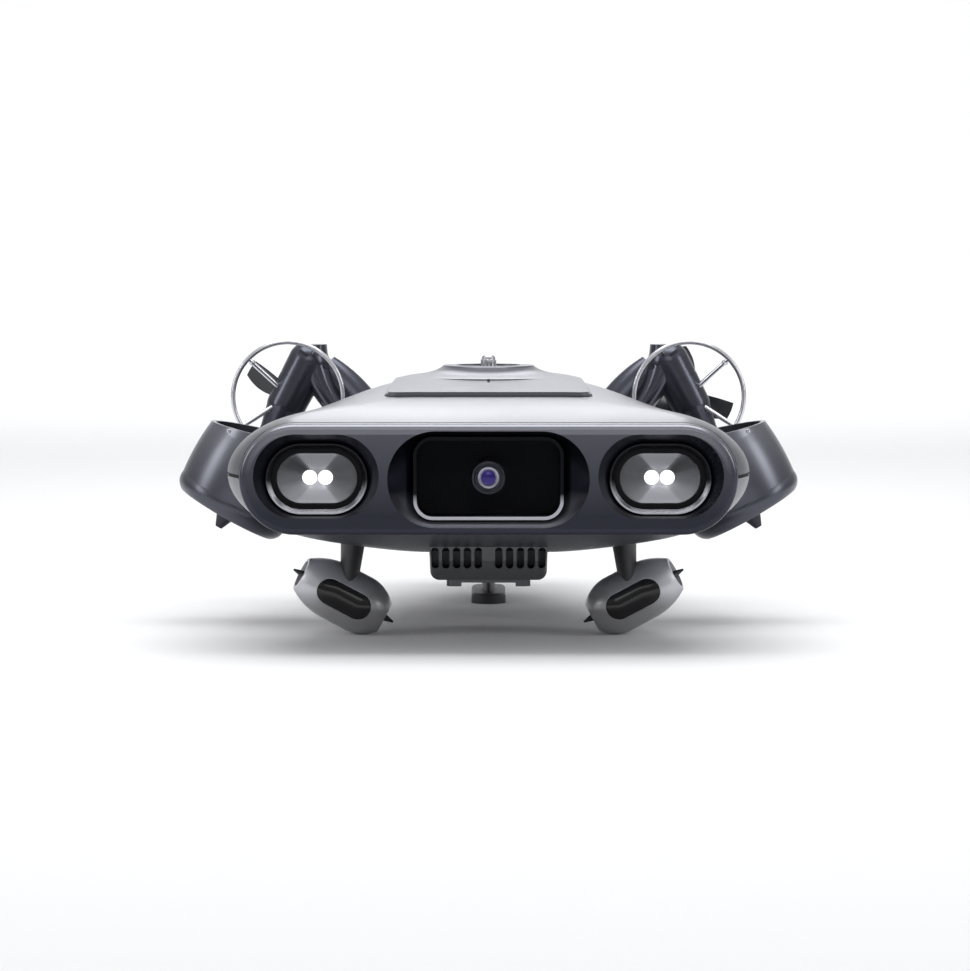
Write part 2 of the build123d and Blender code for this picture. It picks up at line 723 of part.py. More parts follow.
def upper_fin(grow):
    """Thin fin that braces the arm from the side of the deck."""
    root = Vector(FIN_ROOT_X, FIN_Y, FIN_ROOT_Z)
    rise = Vector(FIN_TIP_X, FIN_Y, FIN_TIP_Z) - root
    sections = []
    for share, thick, half in (
        (0.0, FIN_ROOT_THICK, FIN_ROOT_HALF),
        (FIN_MIDDLE_SHARE, FIN_MIDDLE_THICK, FIN_MIDDLE_HALF),
        (1.0, FIN_TIP_THICK, FIN_TIP_HALF),
    ):
        plane = Plane(origin=root + rise * share, x_dir=(0, 1, 0), z_dir=rise)
        sections.append(plane * Ellipse(thick + grow, half + grow))
    return loft(sections)


def leg_seam():
    """Half ring that grooves the outer side of the leg."""
    run = (FOOT_X - HEAD_X, 0, FOOT_Z - HEAD_Z)
    plane = Plane(origin=(LEG_SEAM_X, ARM_Y, LEG_SEAM_Z), z_dir=run)
    ring = rod(plane, HEAD_RADIUS + 1, LEG_SEAM_WIDTH) - rod(plane, LEG_SEAM_RADIUS, LEG_SEAM_WIDTH)
    return ring & box(LEG_SEAM_X, SPACE, -SPACE, SPACE, 0, SPACE)


def head_slit():
    """Slim oval recess in the front of the arm's head."""
    plane = Plane(origin=(HEAD_SLIT_X, GUARD_Y, HEAD_SLIT_Z), x_dir=(1, 0, 0), z_dir=(0, 1, 0))
    slit = extrude(plane * SlotOverall(*HEAD_SLIT, rotation=HEAD_SLIT_TURN), SPACE)
    return slit & box(0, SPACE, 0, ARM_Y - HEAD_RADIUS + HEAD_SLIT_SINK, 0, SPACE)


def upper_arm():
    """Arched arm: column and fin from the deck, a round head and a leg across the guard."""
    arm = upper_leg(0) + upper_column(0) + upper_fin(0) - hull_form(-SEAT_GAP)
    arm = arm & slab(0, HEAD_TOP_Z)
    eye = rod(across(0, HEAD_EYE_X, HEAD_EYE_Z), HEAD_EYE_RADIUS, ARM_Y - HEAD_RADIUS + HEAD_EYE_SINK)
    motor_seat = rod(upper_motor_plane(), UPPER_MOTOR_RADIUS + SEAT_GAP, SPACE)
    return one(arm - leg_seam() - head_slit() - eye - motor_seat)


def upper_leg(grow):
    """Thick round leg of the arm, bent in the middle, from its head to its foot."""
    head = (HEAD_X, ARM_Y, HEAD_Z)
    knee = (LEG_X, ARM_Y, LEG_Z)
    foot = (FOOT_X, ARM_Y, FOOT_Z)
    leg = taper(head, knee, HEAD_RADIUS + grow, LEG_RADIUS + grow)
    leg += taper(knee, foot, LEG_RADIUS + grow, FOOT_RADIUS + grow)
    leg += Pos(*head) * Sphere(HEAD_RADIUS + grow)
    leg += Pos(*knee) * Sphere(LEG_RADIUS + grow)
    return leg + Pos(*foot) * Sphere(FOOT_RADIUS + grow)


def guard_point(x, z):
    """The point of the guard ring in the direction of a spot on its face."""
    run = Vector(x - UPPER_X, 0, z - UPPER_Z).normalized() * GUARD_RADIUS
    return Vector(UPPER_X, GUARD_Y, UPPER_Z) + run


def spoke(x, z, end_x, end_z):
    """A round wire from the guard ring to a point in the middle of the arm."""
    start = guard_point(x, z)
    run = Vector(end_x, ARM_Y - SPOKE_SINK, end_z) - start
    return extrude(Plane(origin=start, z_dir=run) * Circle(GUARD_WIRE), run.length)


def upper_guard():
    """Wire guard ring in front of the arm, held by four spokes."""
    guard = across(GUARD_Y, UPPER_X, UPPER_Z).location * Torus(GUARD_RADIUS, GUARD_WIRE)
    guard += spoke(BALL_X, BALL_Z, UPPER_X, UPPER_Z)
    guard += spoke(BRACE_X, BRACE_Z, UPPER_X, UPPER_Z)
    guard += spoke(HEAD_X, HEAD_Z, HEAD_X, HEAD_Z)
    guard += spoke(FOOT_X, FOOT_Z, FOOT_X, FOOT_Z)
    guard += Pos(BALL_X, GUARD_Y + GUARD_WIRE, BALL_Z) * Sphere(BALL_RADIUS)
    return one(guard - upper_leg(SEAT_GAP / 2) - upper_column(SEAT_GAP / 2))


def spin(profile, plane):
    """Revolves a half profile drawn as radius and length, and sets it on a plane."""
    return plane.location * revolve(Plane.XZ * profile, Axis.Z)


def upper_motor_plane(along=0.0):
    """Axis of the upper thruster, with its normal to the rear."""
    return across(ARM_Y + along, UPPER_X, UPPER_Z)


def upper_motor():
    """Motor can behind the arm, with a bore for its shaft."""
    body = rod(upper_motor_plane(), UPPER_MOTOR_RADIUS, UPPER_MOTOR_LENGTH)
    body = fillet(body.edges().sort_by(Axis.Y)[-1], UPPER_MOTOR_ROUND)
    depth = SHAFT_LENGTH + SHAFT_END_GAP
    bore = rod(upper_motor_plane(UPPER_MOTOR_LENGTH - depth), SHAFT_RADIUS + RUN_CLEAR, SPACE)
    return one(body - bore)


def blade_section(chord, thick, camber):
    """Lens outline of a blade, curved like a shallow wing."""
    nose = (-chord / 2, 0)
    tail = (chord / 2, 0)
    back = ThreePointArc(nose, (0, camber + thick / 2), tail)
    face = ThreePointArc(tail, (0, camber - thick / 2), nose)
    return make_face([back, face])


def blade(root, tip, chords, pitches, sweep):
    """One twisted blade, lofted outwards from its root."""
    sections = []
    for share in BLADE_STATIONS:
        radius = root + (tip - root) * share
        swell = BLADE_SWELL * chords[1] * share * (1 - share)
        chord = chords[0] + (chords[1] - chords[0]) * share + swell
        pitch = pitches[0] + (pitches[1] - pitches[0]) * share
        thick = BLADE_ROOT_THICK + (BLADE_TIP_THICK - BLADE_ROOT_THICK) * share
        plane = Plane(origin=(radius, 0, 0), x_dir=(0, 1, 0), z_dir=(1, 0, 0))
        outline = blade_section(chord, thick, BLADE_CAMBER * chord)
        sections.append(plane * Rot(0, 0, pitch) * Pos(-sweep * share * share, 0) * outline)
    return loft(sections) & Pos(0, 0, -tip) * Cylinder(tip, 3 * tip)


def hub(radius, length):
    """Propeller hub with a rounded nose."""
    nose = length * HUB_NOSE_SHARE
    start = (radius, length - nose)
    bend = (radius * HUB_NOSE_BEND[0], length - nose * HUB_NOSE_BEND[1])
    outline = [
        Line((0, 0), (radius, 0)),
        Line((radius, 0), start),
        ThreePointArc(start, bend, (HUB_TIP_RADIUS, length)),
        Line((HUB_TIP_RADIUS, length), (0, length)),
        Line((0, length), (0, 0)),
    ]
    return revolve(Plane.XZ * make_face(outline), Axis.Z)


def shaft(radius, length):
    """Shaft stub on the back of a propeller."""
    return Cylinder(radius, length + 1, align=(Align.CENTER, Align.CENTER, Align.MAX))


def propeller(hub_radius, hub_length, tip, chord):
    """Three-blade propeller with its hub and shaft stub."""
    wheel = hub(hub_radius, hub_length)
    chords = (chord * BLADE_ROOT_SHARE, chord * BLADE_TIP_SHARE)
    pitches = (BLADE_ROOT_PITCH, BLADE_TIP_PITCH)
    half_rise = chords[0] / 2 * math.sin(math.radians(BLADE_ROOT_PITCH))
    wing = blade(hub_radius - BLADE_ROOT_SINK, tip, chords, pitches, chord * BLADE_SWEEP_SHARE)
    for step in range(BLADE_COUNT):
        wheel += Rot(0, 0, 360 * step / BLADE_COUNT) * Pos(0, 0, half_rise + BLADE_LIFT) * wing
    return one(wheel + Pos(0, 0, 1) * shaft(SHAFT_RADIUS, SHAFT_LENGTH))


def upper_propeller(turn):
    """Open three-blade propeller behind the upper motor, at a given turn."""
    wheel = propeller(UPPER_HUB_RADIUS, UPPER_HUB_LENGTH, UPPER_BLADE_RADIUS, UPPER_BLADE_CHORD)
    return upper_motor_plane(UPPER_MOTOR_LENGTH + RUN_GAP).location * Rot(0, 0, turn) * wheel


def bend(low, high):
    """An arc that leaves its low end sideways and reaches its high end upright."""
    share = math.sqrt(0.5)
    middle_x = low[0] + (high[0] - low[0]) * share
    middle_z = low[1] + (high[1] - low[1]) * (1 - share)
    return ThreePointArc(low, (middle_x, middle_z), high)


def side_duct():
    """Tilted duct with a bulged wall, a drawn-in lower lip and a sloping mouth."""
    inner = DUCT_RADIUS - DUCT_WALL
    lip_inner = (inner - DUCT_LIP_DRAW, DUCT_LIP_LOW)
    lip_outer = (inner - DUCT_LIP_DRAW + DUCT_LIP_THICK, DUCT_LIP_LOW)
    outer_low = (DUCT_RADIUS, DUCT_LIP_OUTER)
    outer_top = (DUCT_RADIUS, DUCT_OUTER_LENGTH)
    inner_low = (inner, DUCT_LIP_INNER)
    bulge = (DUCT_RADIUS + DUCT_BULGE, (DUCT_LIP_OUTER + DUCT_OUTER_LENGTH) / 2)
    profile = make_face([
        Line(lip_inner, lip_outer),
        bend(lip_outer, outer_low),
        ThreePointArc(outer_low, bulge, outer_top),
        Line(outer_top, (DUCT_RADIUS, DUCT_INNER_LENGTH)),
        Line((DUCT_RADIUS, DUCT_INNER_LENGTH), (inner, DUCT_INNER_LENGTH)),
        Line((inner, DUCT_INNER_LENGTH), inner_low),
        bend(lip_inner, inner_low),
    ])
    duct = spin(profile, duct_plane())
    return one(split(duct, bisect_by=duct_mouth_plane(), keep=Keep.BOTTOM))


def side_motor():
    """Motor in the duct: vanes to the wall, and a cone below the rim."""
    radius = SIDE_MOTOR_RADIUS
    body = spin(make_face(Polyline(
        (0, -SIDE_CONE_LENGTH),
        (SIDE_CONE_TIP, -SIDE_CONE_LENGTH),
        (radius, SIDE_CONE_TOP),
        (radius, SIDE_MOTOR_LENGTH),
        (0, SIDE_MOTOR_LENGTH),
        close=True,
    )), duct_plane())
    reach = DUCT_RADIUS - DUCT_WALL - SEAT_GAP / 2
    low = (Align.MIN, Align.CENTER, Align.MIN)
    vane = Pos(0, 0, SIDE_VANE_LOW) * Box(reach, SIDE_VANE_THICK, SIDE_VANE_HEIGHT, align=low)
    vane = vane & Cylinder(reach, SPACE)
    for step in range(SIDE_VANES):
        turn = Rot(0, 0, SIDE_VANE_TURN + 360 * step / SIDE_VANES)
        body += duct_plane().location * turn * vane
    depth = SHAFT_LENGTH + SHAFT_END_GAP
    bore = rod(duct_plane(SIDE_MOTOR_LENGTH - depth), SHAFT_RADIUS + RUN_CLEAR, SPACE)
    return one(body - bore)


def side_propeller():
    """Ducted three-blade propeller above the motor."""
    tip = DUCT_RADIUS - DUCT_WALL - SIDE_TIP_CLEAR
    wheel = propeller(SIDE_MOTOR_RADIUS, SIDE_HUB_LENGTH, tip, SIDE_BLADE_CHORD)
    return duct_plane(SIDE_MOTOR_LENGTH + RUN_GAP).location * Rot(0, 0, SIDE_TURN) * wheel


def pod_axis():
    """Direction of the lower thruster, outwards and up."""
    tilt = math.radians(POD_TILT)
    return Vector(math.cos(tilt), 0, math.sin(tilt))


def dome(radius, start, end_radius, end):
    """Three points of an arc that leaves a straight side smoothly and closes in to an end."""
    run = end - start
    drop = radius - end_radius
    curve = (run * run + drop * drop) / (2 * drop)
    middle = radius - curve + math.sqrt(curve * curve - run * run / 4)
    return [(radius, start), (middle, start + run / 2), (end_radius, end)]


def pod_profile(grow):
    """Half outline of the barrel: a straight middle between two domes."""
    radius = POD_RADIUS + grow
    low = (POD_INNER_RADIUS + grow, -POD_INNER_LENGTH - grow)
    high = (POD_OUTER_RADIUS + grow, POD_OUTER_LENGTH + grow)
    inner = dome(radius, -POD_INNER_STRAIGHT, *low)
    outer = dome(radius, POD_OUTER_STRAIGHT, *high)
    return make_face([
        Line((0, low[1]), low),
        ThreePointArc(*reversed(inner)),
        Line(inner[0], outer[0]),
        ThreePointArc(*outer),
        Line(high, (0, high[1])),
        Line((0, high[1]), (0, low[1])),
    ])


@cache
def pod_height():
    """Height of the pod's middle, with its lowest point on the ground."""
    loose = spin(pod_profile(0), Plane(origin=(0, 0, 0), x_dir=(0, 1, 0), z_dir=pod_axis()))
    return -loose.bounding_box().min.Z


def pod_plane(along=0.0):
    """Middle of the lower thruster, with its normal outwards and up."""
    origin = Vector(POD_X, POD_Y, pod_height()) + pod_axis() * along
    return Plane(origin=origin, x_dir=(0, 1, 0), z_dir=pod_axis())


def pod_mouth_plane():
    """Plane of the outer mouth, turned so that the mouth also opens forward."""
    turn = math.radians(POD_MOUTH_TURN)
    normal = pod_axis() * math.cos(turn) + Vector(0, -math.sin(turn), 0)
    return Plane(origin=pod_plane(POD_MOUTH_SHIFT).origin, z_dir=normal)


def pod_solid(grow=0.0):
    """Smooth barrel form of the lower thruster."""
    return spin(pod_profile(grow), pod_plane())


def inset_prism(margin):
    """Oval block that faces forward on the pod, along its axis."""
    front = POD_Y - POD_RADIUS + INSET_DEPTH
    plane = Plane(origin=(POD_X, front - margin, pod_height()), x_dir=pod_axis(), z_dir=(0, -1, 0))
    outline = SlotOverall(INSET_SIZE[0] - 2 * margin, INSET_SIZE[1] - 2 * margin)
    return extrude(plane * outline, POD_RADIUS)


def lower_pod():
    """Barrel of the lower thruster: a tunnel through it and an oval pocket in front."""
    body = split(pod_solid(), bisect_by=pod_mouth_plane(), keep=Keep.BOTTOM)
    tunnel = rod(pod_plane(-SPACE), TUNNEL_RADIUS, 2 * SPACE)
    return one(body - tunnel - inset_prism(0))


def pod_inset():
    """Dark oval cover let into the front of the pod."""
    return one(inset_prism(INSET_CLEAR) & pod_solid(-INSET_SINK))


def pod_core():
    """Slim core in the tunnel: pointed inner end, bearing and three vanes."""
    radius = POD_CORE_RADIUS
    high = POD_CORE_END + POD_CORE_LENGTH
    core = spin(make_face(Polyline(
        (0, POD_CORE_END),
        (POD_TIP_RADIUS, POD_CORE_END),
        (radius, POD_CORE_END + POD_TIP_LENGTH),
        (radius, high),
        (0, high),
        close=True,
    )), pod_plane())
    low = (Align.MIN, Align.CENTER, Align.MIN)
    vane = Pos(0, 0, POD_VANE_LOW) * Box(POD_RADIUS, POD_VANE_THICK, POD_VANE_HEIGHT, align=low)
    vane = vane & Cylinder(TUNNEL_RADIUS - SEAT_GAP / 2, SPACE)
    for step in range(POD_VANES):
        core += pod_plane().location * Rot(0, 0, 360 * step / POD_VANES) * vane
    return one(core - rod(pod_plane(high - SHAFT_LENGTH), POD_SHAFT_RADIUS + RUN_CLEAR, SPACE))


def pod_propeller():
    """Small tunnel propeller whose pointed hub shows at the outer mouth."""
    radius = POD_CORE_RADIUS
    start = POD_CORE_END + POD_CORE_LENGTH + RUN_GAP
    length = POD_TIP_END - start
    wheel = revolve(Plane.XZ * make_face(Polyline(
        (0, 0),
        (radius, 0),
        (radius, length - POD_TIP_LENGTH),
        (POD_TIP_RADIUS, length),
        (0, length),
        close=True,
    )), Axis.Z)
    tip = TUNNEL_RADIUS - POD_TIP_CLEAR
    wing = blade(radius - POD_BLADE_SINK, tip, POD_BLADE_CHORDS, POD_BLADE_PITCHES, POD_BLADE_SWEEP)
    for step in range(POD_BLADES):
        wheel += Rot(0, 0, 360 * step / POD_BLADES) * Pos(0, 0, POD_BLADE_LIFT) * wing
    wheel += Pos(0, 0, 1) * shaft(POD_SHAFT_RADIUS, SHAFT_LENGTH - SHAFT_END_GAP)
    return pod_plane(start).location * one(wheel)


def lower_strut():
    """Streamlined strut from the pod up to the underside of the chest."""
    low = (POD_X - STRUT_LOW_SHIFT, POD_Y, pod_height() + STRUT_LOW_RISE)
    top = (STRUT_X, POD_Y + STRUT_TOP_SHIFT, STRUT_TOP_Z)
    strut = loft([
        Plane(origin=low, x_dir=(0, 1, 0)) * Ellipse(*STRUT_LOW_SIZE),
        Plane(origin=top, x_dir=(0, 1, 0)) * Ellipse(*STRUT_TOP_SIZE),
    ])
    return one(strut - pod_solid(SEAT_GAP) - hull_form(-SEAT_GAP))


def belly_keel():
    """Fairing under the belly, with a row of cooling slots in its brow."""
    side = make_face(Polyline(
        (KEEL_FRONT_Y, KEEL_TOP_Z),
        (KEEL_FRONT_Y, KEEL_BROW_Z),
        (KEEL_FRONT_Y + KEEL_BROW_RUN, KEEL_LOW_Z),
        (KEEL_BACK_Y - KEEL_BACK_RUN, KEEL_LOW_Z),
        (KEEL_BACK_Y, KEEL_BACK_Z),
        (KEEL_BACK_Y, KEEL_TOP_Z),
        close=True,
    ))
    body = extrude(Plane.YZ.offset(-KEEL_HALF) * side, 2 * KEEL_HALF)
    low_edges = body.edges().filter_by(is_keel_edge)
    body = fillet(low_edges, KEEL_ROUND)
    for side_sign in (-1, 1):
        for step in range(SLOT_COUNT_SIDE):
            body -= slot_cutter(side_sign * (SLOT_FIRST_X + step * SLOT_PITCH))
    return one(body - hull_form(-SEAT_GAP))


def is_keel_edge(edge):
    """Whether an edge runs along the lower side of the keel."""
    middle = edge.center()
    return middle.Z < KEEL_BROW_Z + KEEL_ROUND_BAND and abs(middle.X) > KEEL_HALF - 1


def slot_cutter(x):
    """Round-topped slot, open at the front."""
    plane = across(KEEL_FRONT_Y - 1, x, SLOT_TOP_Z - SLOT_HEIGHT / 2)
    return extrude(plane * SlotOverall(SLOT_HEIGHT, SLOT_WIDTH, rotation=90), SLOT_DEPTH)


def accessory_rail():
    """Mounting plate under the keel with four screw holes and a centre foot."""
    top = KEEL_LOW_Z - SEAT_GAP / 2
    low = top - RAIL_THICK
    front = RAIL_Y - RAIL_LENGTH / 2
    back = RAIL_Y + RAIL_LENGTH / 2
    plate = box(-RAIL_HALF, RAIL_HALF, front, back, low, top)
    plate = fillet(plate.edges().filter_by(Axis.Z), RAIL_ROUND)
    groove_half = RAIL_HALF - RAIL_GROOVE_LAND
    groove = box(-groove_half, groove_half, -SPACE, SPACE, low - 1, low + RAIL_GROOVE_DEPTH)
    foot_front = RAIL_Y - RAIL_FOOT_LENGTH / 2
    foot_back = RAIL_Y + RAIL_FOOT_LENGTH / 2
    foot = box(-RAIL_FOOT_HALF, RAIL_FOOT_HALF, foot_front, foot_back, low, top)
    places = Pos(0, RAIL_Y) * GridLocations(*RAIL_HOLE_SPACING, 2, 2)
    return one(plate - groove + foot - places * Cylinder(RAIL_HOLE_RADIUS, SPACE))


def rear_skid():
    """Rear skid that carries the tail when the vehicle stands."""
    foot = box(-SKID_HALF, SKID_HALF, SKID_FRONT_Y, SKID_BACK_Y, 0, SKID_FOOT)
    foot = fillet(foot.edges().filter_by(Axis.Z), SKID_END_ROUND)
    foot = fillet(foot.edges().sort_by(Axis.Z)[-1], SKID_ROUND)
    middle = (SKID_FRONT_Y + SKID_BACK_Y) / 2
    low = Plane(origin=(0, middle, SKID_FOOT - SKID_WEB_SINK)) * Ellipse(*SKID_WEB_LOW)
    top = Plane(origin=(0, middle - SKID_WEB_LEAN, SKID_TOP_Z)) * Ellipse(*SKID_WEB_TOP)
    return one(foot + loft([low, top]) - hull_form(-SEAT_GAP))


def rear_cap():
    """Rounded tail cap with a round seat for the tether socket."""
    start = hull_section(END_Y + SEAT_GAP, END_HALF, END_LOW, END_TOP, END_FLAT, 0)
    cap = extrude(start, -(REAR_Y - END_Y - SEAT_GAP))
    cap = fillet(front_edges(cap, REAR_Y), CAP_ROUND)
    seat = across(END_Y - SOCKET_SEAT_DEPTH, 0, SOCKET_Z)
    return one(cap - rod(seat, SOCKET_RADIUS + SEAT_GAP, SPACE))


def tether_socket():
    """Round socket for the tether plug."""
    end = REAR_Y - SOCKET_SINK
    body = rod(across(end - SOCKET_LENGTH, 0, SOCKET_Z), SOCKET_RADIUS, SOCKET_LENGTH)
    body = chamfer(body.edges().sort_by(Axis.Y)[-1], SOCKET_CHAMFER)
    return one(body - rod(across(end - SOCKET_BORE_DEPTH, 0, SOCKET_Z), SOCKET_BORE, SPACE))


def battery_bed():
    """Bed in the lower hull that holds the battery."""
    half = BATTERY[0] / 2 + BED_MARGIN
    front = BATTERY_Y - BATTERY[1] / 2
    back = BATTERY_Y + BATTERY[1] / 2
    area = box(-half, half, front, back, BED_LOW_Z, BATTERY_LOW_Z)
    return one(area & hull_form(WALL + SEAT_GAP))


def battery_pack():
    """Battery block on its bed."""
    low = BATTERY_LOW_Z + SEAT_GAP
    half = BATTERY[0] / 2
    front = BATTERY_Y - BATTERY[1] / 2 + BATTERY_CLEAR
    back = BATTERY_Y + BATTERY[1] / 2 - BATTERY_CLEAR
    block = box(-half, half, front, back, low, low + BATTERY[2])
    return one(fillet(block.edges().filter_by(Axis.Z), BATTERY_ROUND))


def inner_plate(size, low):
    """A flat plate above the battery, at a given height."""
    half_x = size[0] / 2
    half_y = size[1] / 2
    return box(-half_x, half_x, BATTERY_Y - half_y, BATTERY_Y + half_y, low, low + size[2])


def electronics_tray():
    """Tray on the battery, with four posts for the control board."""
    low = BATTERY_LOW_Z + BATTERY[2] + 2 * SEAT_GAP
    across_posts = BOARD[0] - 2 * BOARD_POST_INSET
    along_posts = BOARD[1] - 2 * BOARD_POST_INSET
    stand = rod(Plane.XY, BOARD_POST_RADIUS, TRAY[2] + BOARD_POST)
    places = Pos(0, BATTERY_Y, low) * GridLocations(across_posts, along_posts, 2, 2)
    return one(inner_plate(TRAY, low) + places * stand)


def control_board():
    """Control board with its larger chips."""
    low = BATTERY_LOW_Z + BATTERY[2] + TRAY[2] + BOARD_POST + 3 * SEAT_GAP
    chip = Box(*CHIP_SIZE, align=(Align.CENTER, Align.CENTER, Align.MIN))
    places = Pos(0, BATTERY_Y, low + BOARD[2]) * GridLocations(*CHIP_SPACING, 2, 3)
    return one(inner_plate(BOARD, low) + places * chip)


def main():
    """Builds every piece and writes one file for each."""
    shell = hull_shell()
    parts = {
        "upper_shell": upper_shell(shell),
        "lower_shell": lower_shell(shell),
        "seam_seal": seam_seal(),
        "front_mask": front_mask(),
        "window_trim": window_trim(),
        "camera_window": camera_window(),
        "camera_housing": camera_housing(),
        "camera_lens": camera_lens(),
        "deck_panel": deck_panel(),
        "status_light": status_light(),
        "port_lid": port_lid(),
        "thumb_screw": thumb_screw(),
        "belly_keel": belly_keel(),
        "accessory_rail": accessory_rail(),
        "rear_skid": rear_skid(),
        "rear_cap": rear_cap(),
        "tether_socket": tether_socket(),
        "battery_bed": battery_bed(),
        "battery_pack": battery_pack(),
        "electronics_tray": electronics_tray(),
        "control_board": control_board(),
    }
    paired = {
        "lamp_ring": lamp_ring,
        "lamp_gasket": lamp_gasket,
        "lamp_lens": lamp_lens,
        "lamp_reflector": lamp_reflector,
        "lamp_leds": lamp_leds,
        "upper_arm": upper_arm,
        "upper_guard": upper_guard,
        "upper_motor": upper_motor,
        "side_duct": side_duct,
        "side_motor": side_motor,
        "side_propeller": side_propeller,
        "lower_pod": lower_pod,
        "pod_inset": pod_inset,
        "pod_core": pod_core,
        "pod_propeller": pod_propeller,
        "lower_strut": lower_strut,
    }
    for name, make in paired.items():
        piece = make()
        parts[name + "_port"] = piece
        parts[name + "_starboard"] = mirror(piece, about=Plane.YZ)
    parts["upper_propeller_port"] = upper_propeller(UPPER_TURN_PORT)
    parts["upper_propeller_starboard"] = mirror(upper_propeller(UPPER_TURN_STARBOARD), about=Plane.YZ)
    os.makedirs("parts", exist_ok=True)
    for name, piece in parts.items():
        export_step(piece, "parts/" + name + ".step")


main()
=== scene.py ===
"""Dresses the compact inspection vehicle: finishes, lamps, camera optics, small fasteners, stage and camera."""

from __future__ import annotations

import logging
import math
from dataclasses import dataclass
from enum import Enum

import bmesh
import bpy
from mathutils import Matrix, Vector
from mathutils.bvhtree import BVHTree

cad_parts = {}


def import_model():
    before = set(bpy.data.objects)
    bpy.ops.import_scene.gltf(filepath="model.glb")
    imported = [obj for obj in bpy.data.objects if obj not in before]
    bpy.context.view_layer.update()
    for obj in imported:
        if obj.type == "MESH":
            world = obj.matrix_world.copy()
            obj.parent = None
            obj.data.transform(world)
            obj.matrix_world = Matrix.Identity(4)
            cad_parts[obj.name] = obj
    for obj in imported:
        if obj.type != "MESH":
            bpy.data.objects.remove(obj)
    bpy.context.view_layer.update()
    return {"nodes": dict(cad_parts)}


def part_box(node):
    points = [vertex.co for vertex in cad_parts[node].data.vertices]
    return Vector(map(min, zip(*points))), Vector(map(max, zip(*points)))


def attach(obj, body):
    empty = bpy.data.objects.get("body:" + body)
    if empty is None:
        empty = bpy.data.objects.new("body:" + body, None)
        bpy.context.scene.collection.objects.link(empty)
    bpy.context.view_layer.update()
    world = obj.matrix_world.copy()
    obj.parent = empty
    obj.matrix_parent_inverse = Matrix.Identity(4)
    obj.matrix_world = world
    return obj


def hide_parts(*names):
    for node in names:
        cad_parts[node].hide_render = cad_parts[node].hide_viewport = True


MM = 0.001
SIDES = {"port": 1.0, "starboard": -1.0}
HULL = "hull"
FORWARD = Vector((0.0, -1.0, 0.0))

logging.basicConfig(level=logging.INFO, format="%(message)s")
LOG = logging.getLogger("vehicle")

Socket = bpy.types.NodeSocket
Color = tuple[float, float, float]


class Grain(Enum):
    """How a finish breaks up its surface."""

    SATIN = "satin"
    BRUSHED = "brushed"
    MATT = "matt"
    PLAIN = "plain"


class Graph:
    """Short calls for building the nodes of one material."""

    def __init__(self, name: str) -> None:
        """Starts a material with a Principled shader.

        Args:
            name: Name of the material.
        """
        self.material = bpy.data.materials.new(name)
        self.material.use_nodes = True
        self.tree = self.material.node_tree
        self.shader = self.tree.nodes["Principled BSDF"]
        self.place = self.tree.nodes.new("ShaderNodeTexCoord").outputs["Object"]

    def feed(self, value: float | Socket, target: Socket) -> None:
        """Sets a socket to a number or links it.

        Args:
            value: A number or another socket.
            target: The socket that takes it.
        """
        if isinstance(value, Socket):
            self.tree.links.new(value, target)
        else:
            target.default_value = value

    def noise(self, scale: float, detail: float, stretch: Color = (1.0, 1.0, 1.0)) -> Socket:
        """Adds a noise pattern over the piece.

        Args:
            scale: Cells per metre.
            detail: Levels of detail.
            stretch: Scale of each axis.

        Returns:
            The noise value.
        """
        mapping = self.tree.nodes.new("ShaderNodeMapping")
        mapping.inputs["Scale"].default_value = stretch
        self.feed(self.place, mapping.inputs["Vector"])
        noise = self.tree.nodes.new("ShaderNodeTexNoise")
        noise.inputs["Scale"].default_value = scale
        noise.inputs["Detail"].default_value = detail
        self.feed(mapping.outputs["Vector"], noise.inputs["Vector"])
        return noise.outputs["Fac"]

    def math(self, operation: str, *values: float | Socket) -> Socket:
        """Adds one step of arithmetic.

        Args:
            operation: Name of the operation.
            values: Its operands.

        Returns:
            The result.
        """
        node = self.tree.nodes.new("ShaderNodeMath")
        node.operation = operation
        for value, target in zip(values, node.inputs):
            self.feed(value, target)
        return node.outputs[0]

    def ramp(self, value: Socket, low: float, high: float, first: float = 0.0, last: float = 1.0) -> Socket:
        """Maps a range of values to another one, held at its ends.

        Args:
            value: The value to map.
            low: Value that gives the first result.
            high: Value that gives the last result.
            first: First result.
            last: Last result.

        Returns:
            The mapped value.
        """
        node = self.tree.nodes.new("ShaderNodeMapRange")
        for key, number in (("From Min", low), ("From Max", high), ("To Min", first), ("To Max", last)):
            node.inputs[key].default_value = number
        self.feed(value, node.inputs["Value"])
        return node.outputs["Result"]

    def mix(self, share: float | Socket, first: Color | Socket, second: Color | Socket) -> Socket:
        """Mixes two colours.

        Args:
            share: Share of the second colour.
            first: First colour.
            second: Second colour.

        Returns:
            The mixed colour.
        """
        node = self.tree.nodes.new("ShaderNodeMix")
        node.data_type = "RGBA"
        self.feed(share, node.inputs[0])
        for value, target in ((first, node.inputs[6]), (second, node.inputs[7])):
            self.feed(value if isinstance(value, Socket) else (*value, 1.0), target)
        return node.outputs[2]

    def axes(self) -> tuple[Socket, Socket, Socket]:
        """Splits the place on the piece into its three distances in metres."""
        split = self.tree.nodes.new("ShaderNodeSeparateXYZ")
        self.feed(self.place, split.inputs["Vector"])
        return split.outputs["X"], split.outputs["Y"], split.outputs["Z"]

    def stadium(self, across: Socket, up: Socket, straight: float, radius: float) -> Socket:
        """Gives the distance outside a stadium that lies round the origin.

        Args:
            across: Distance along the stadium.
            up: Distance across the stadium.
            straight: Half of its straight side, in millimetres.
            radius: Radius of its ends, in millimetres.

        Returns:
            The distance in millimetres, negative inside.
        """
        beyond = self.math("MAXIMUM", self.math("SUBTRACT", self.math("ABSOLUTE", across), straight * MM), 0.0)
        square = self.math("ADD", self.math("MULTIPLY", beyond, beyond), self.math("MULTIPLY", up, up))
        return self.math("SUBTRACT", self.math("MULTIPLY", self.math("SQRT", square), 1.0 / MM), radius)


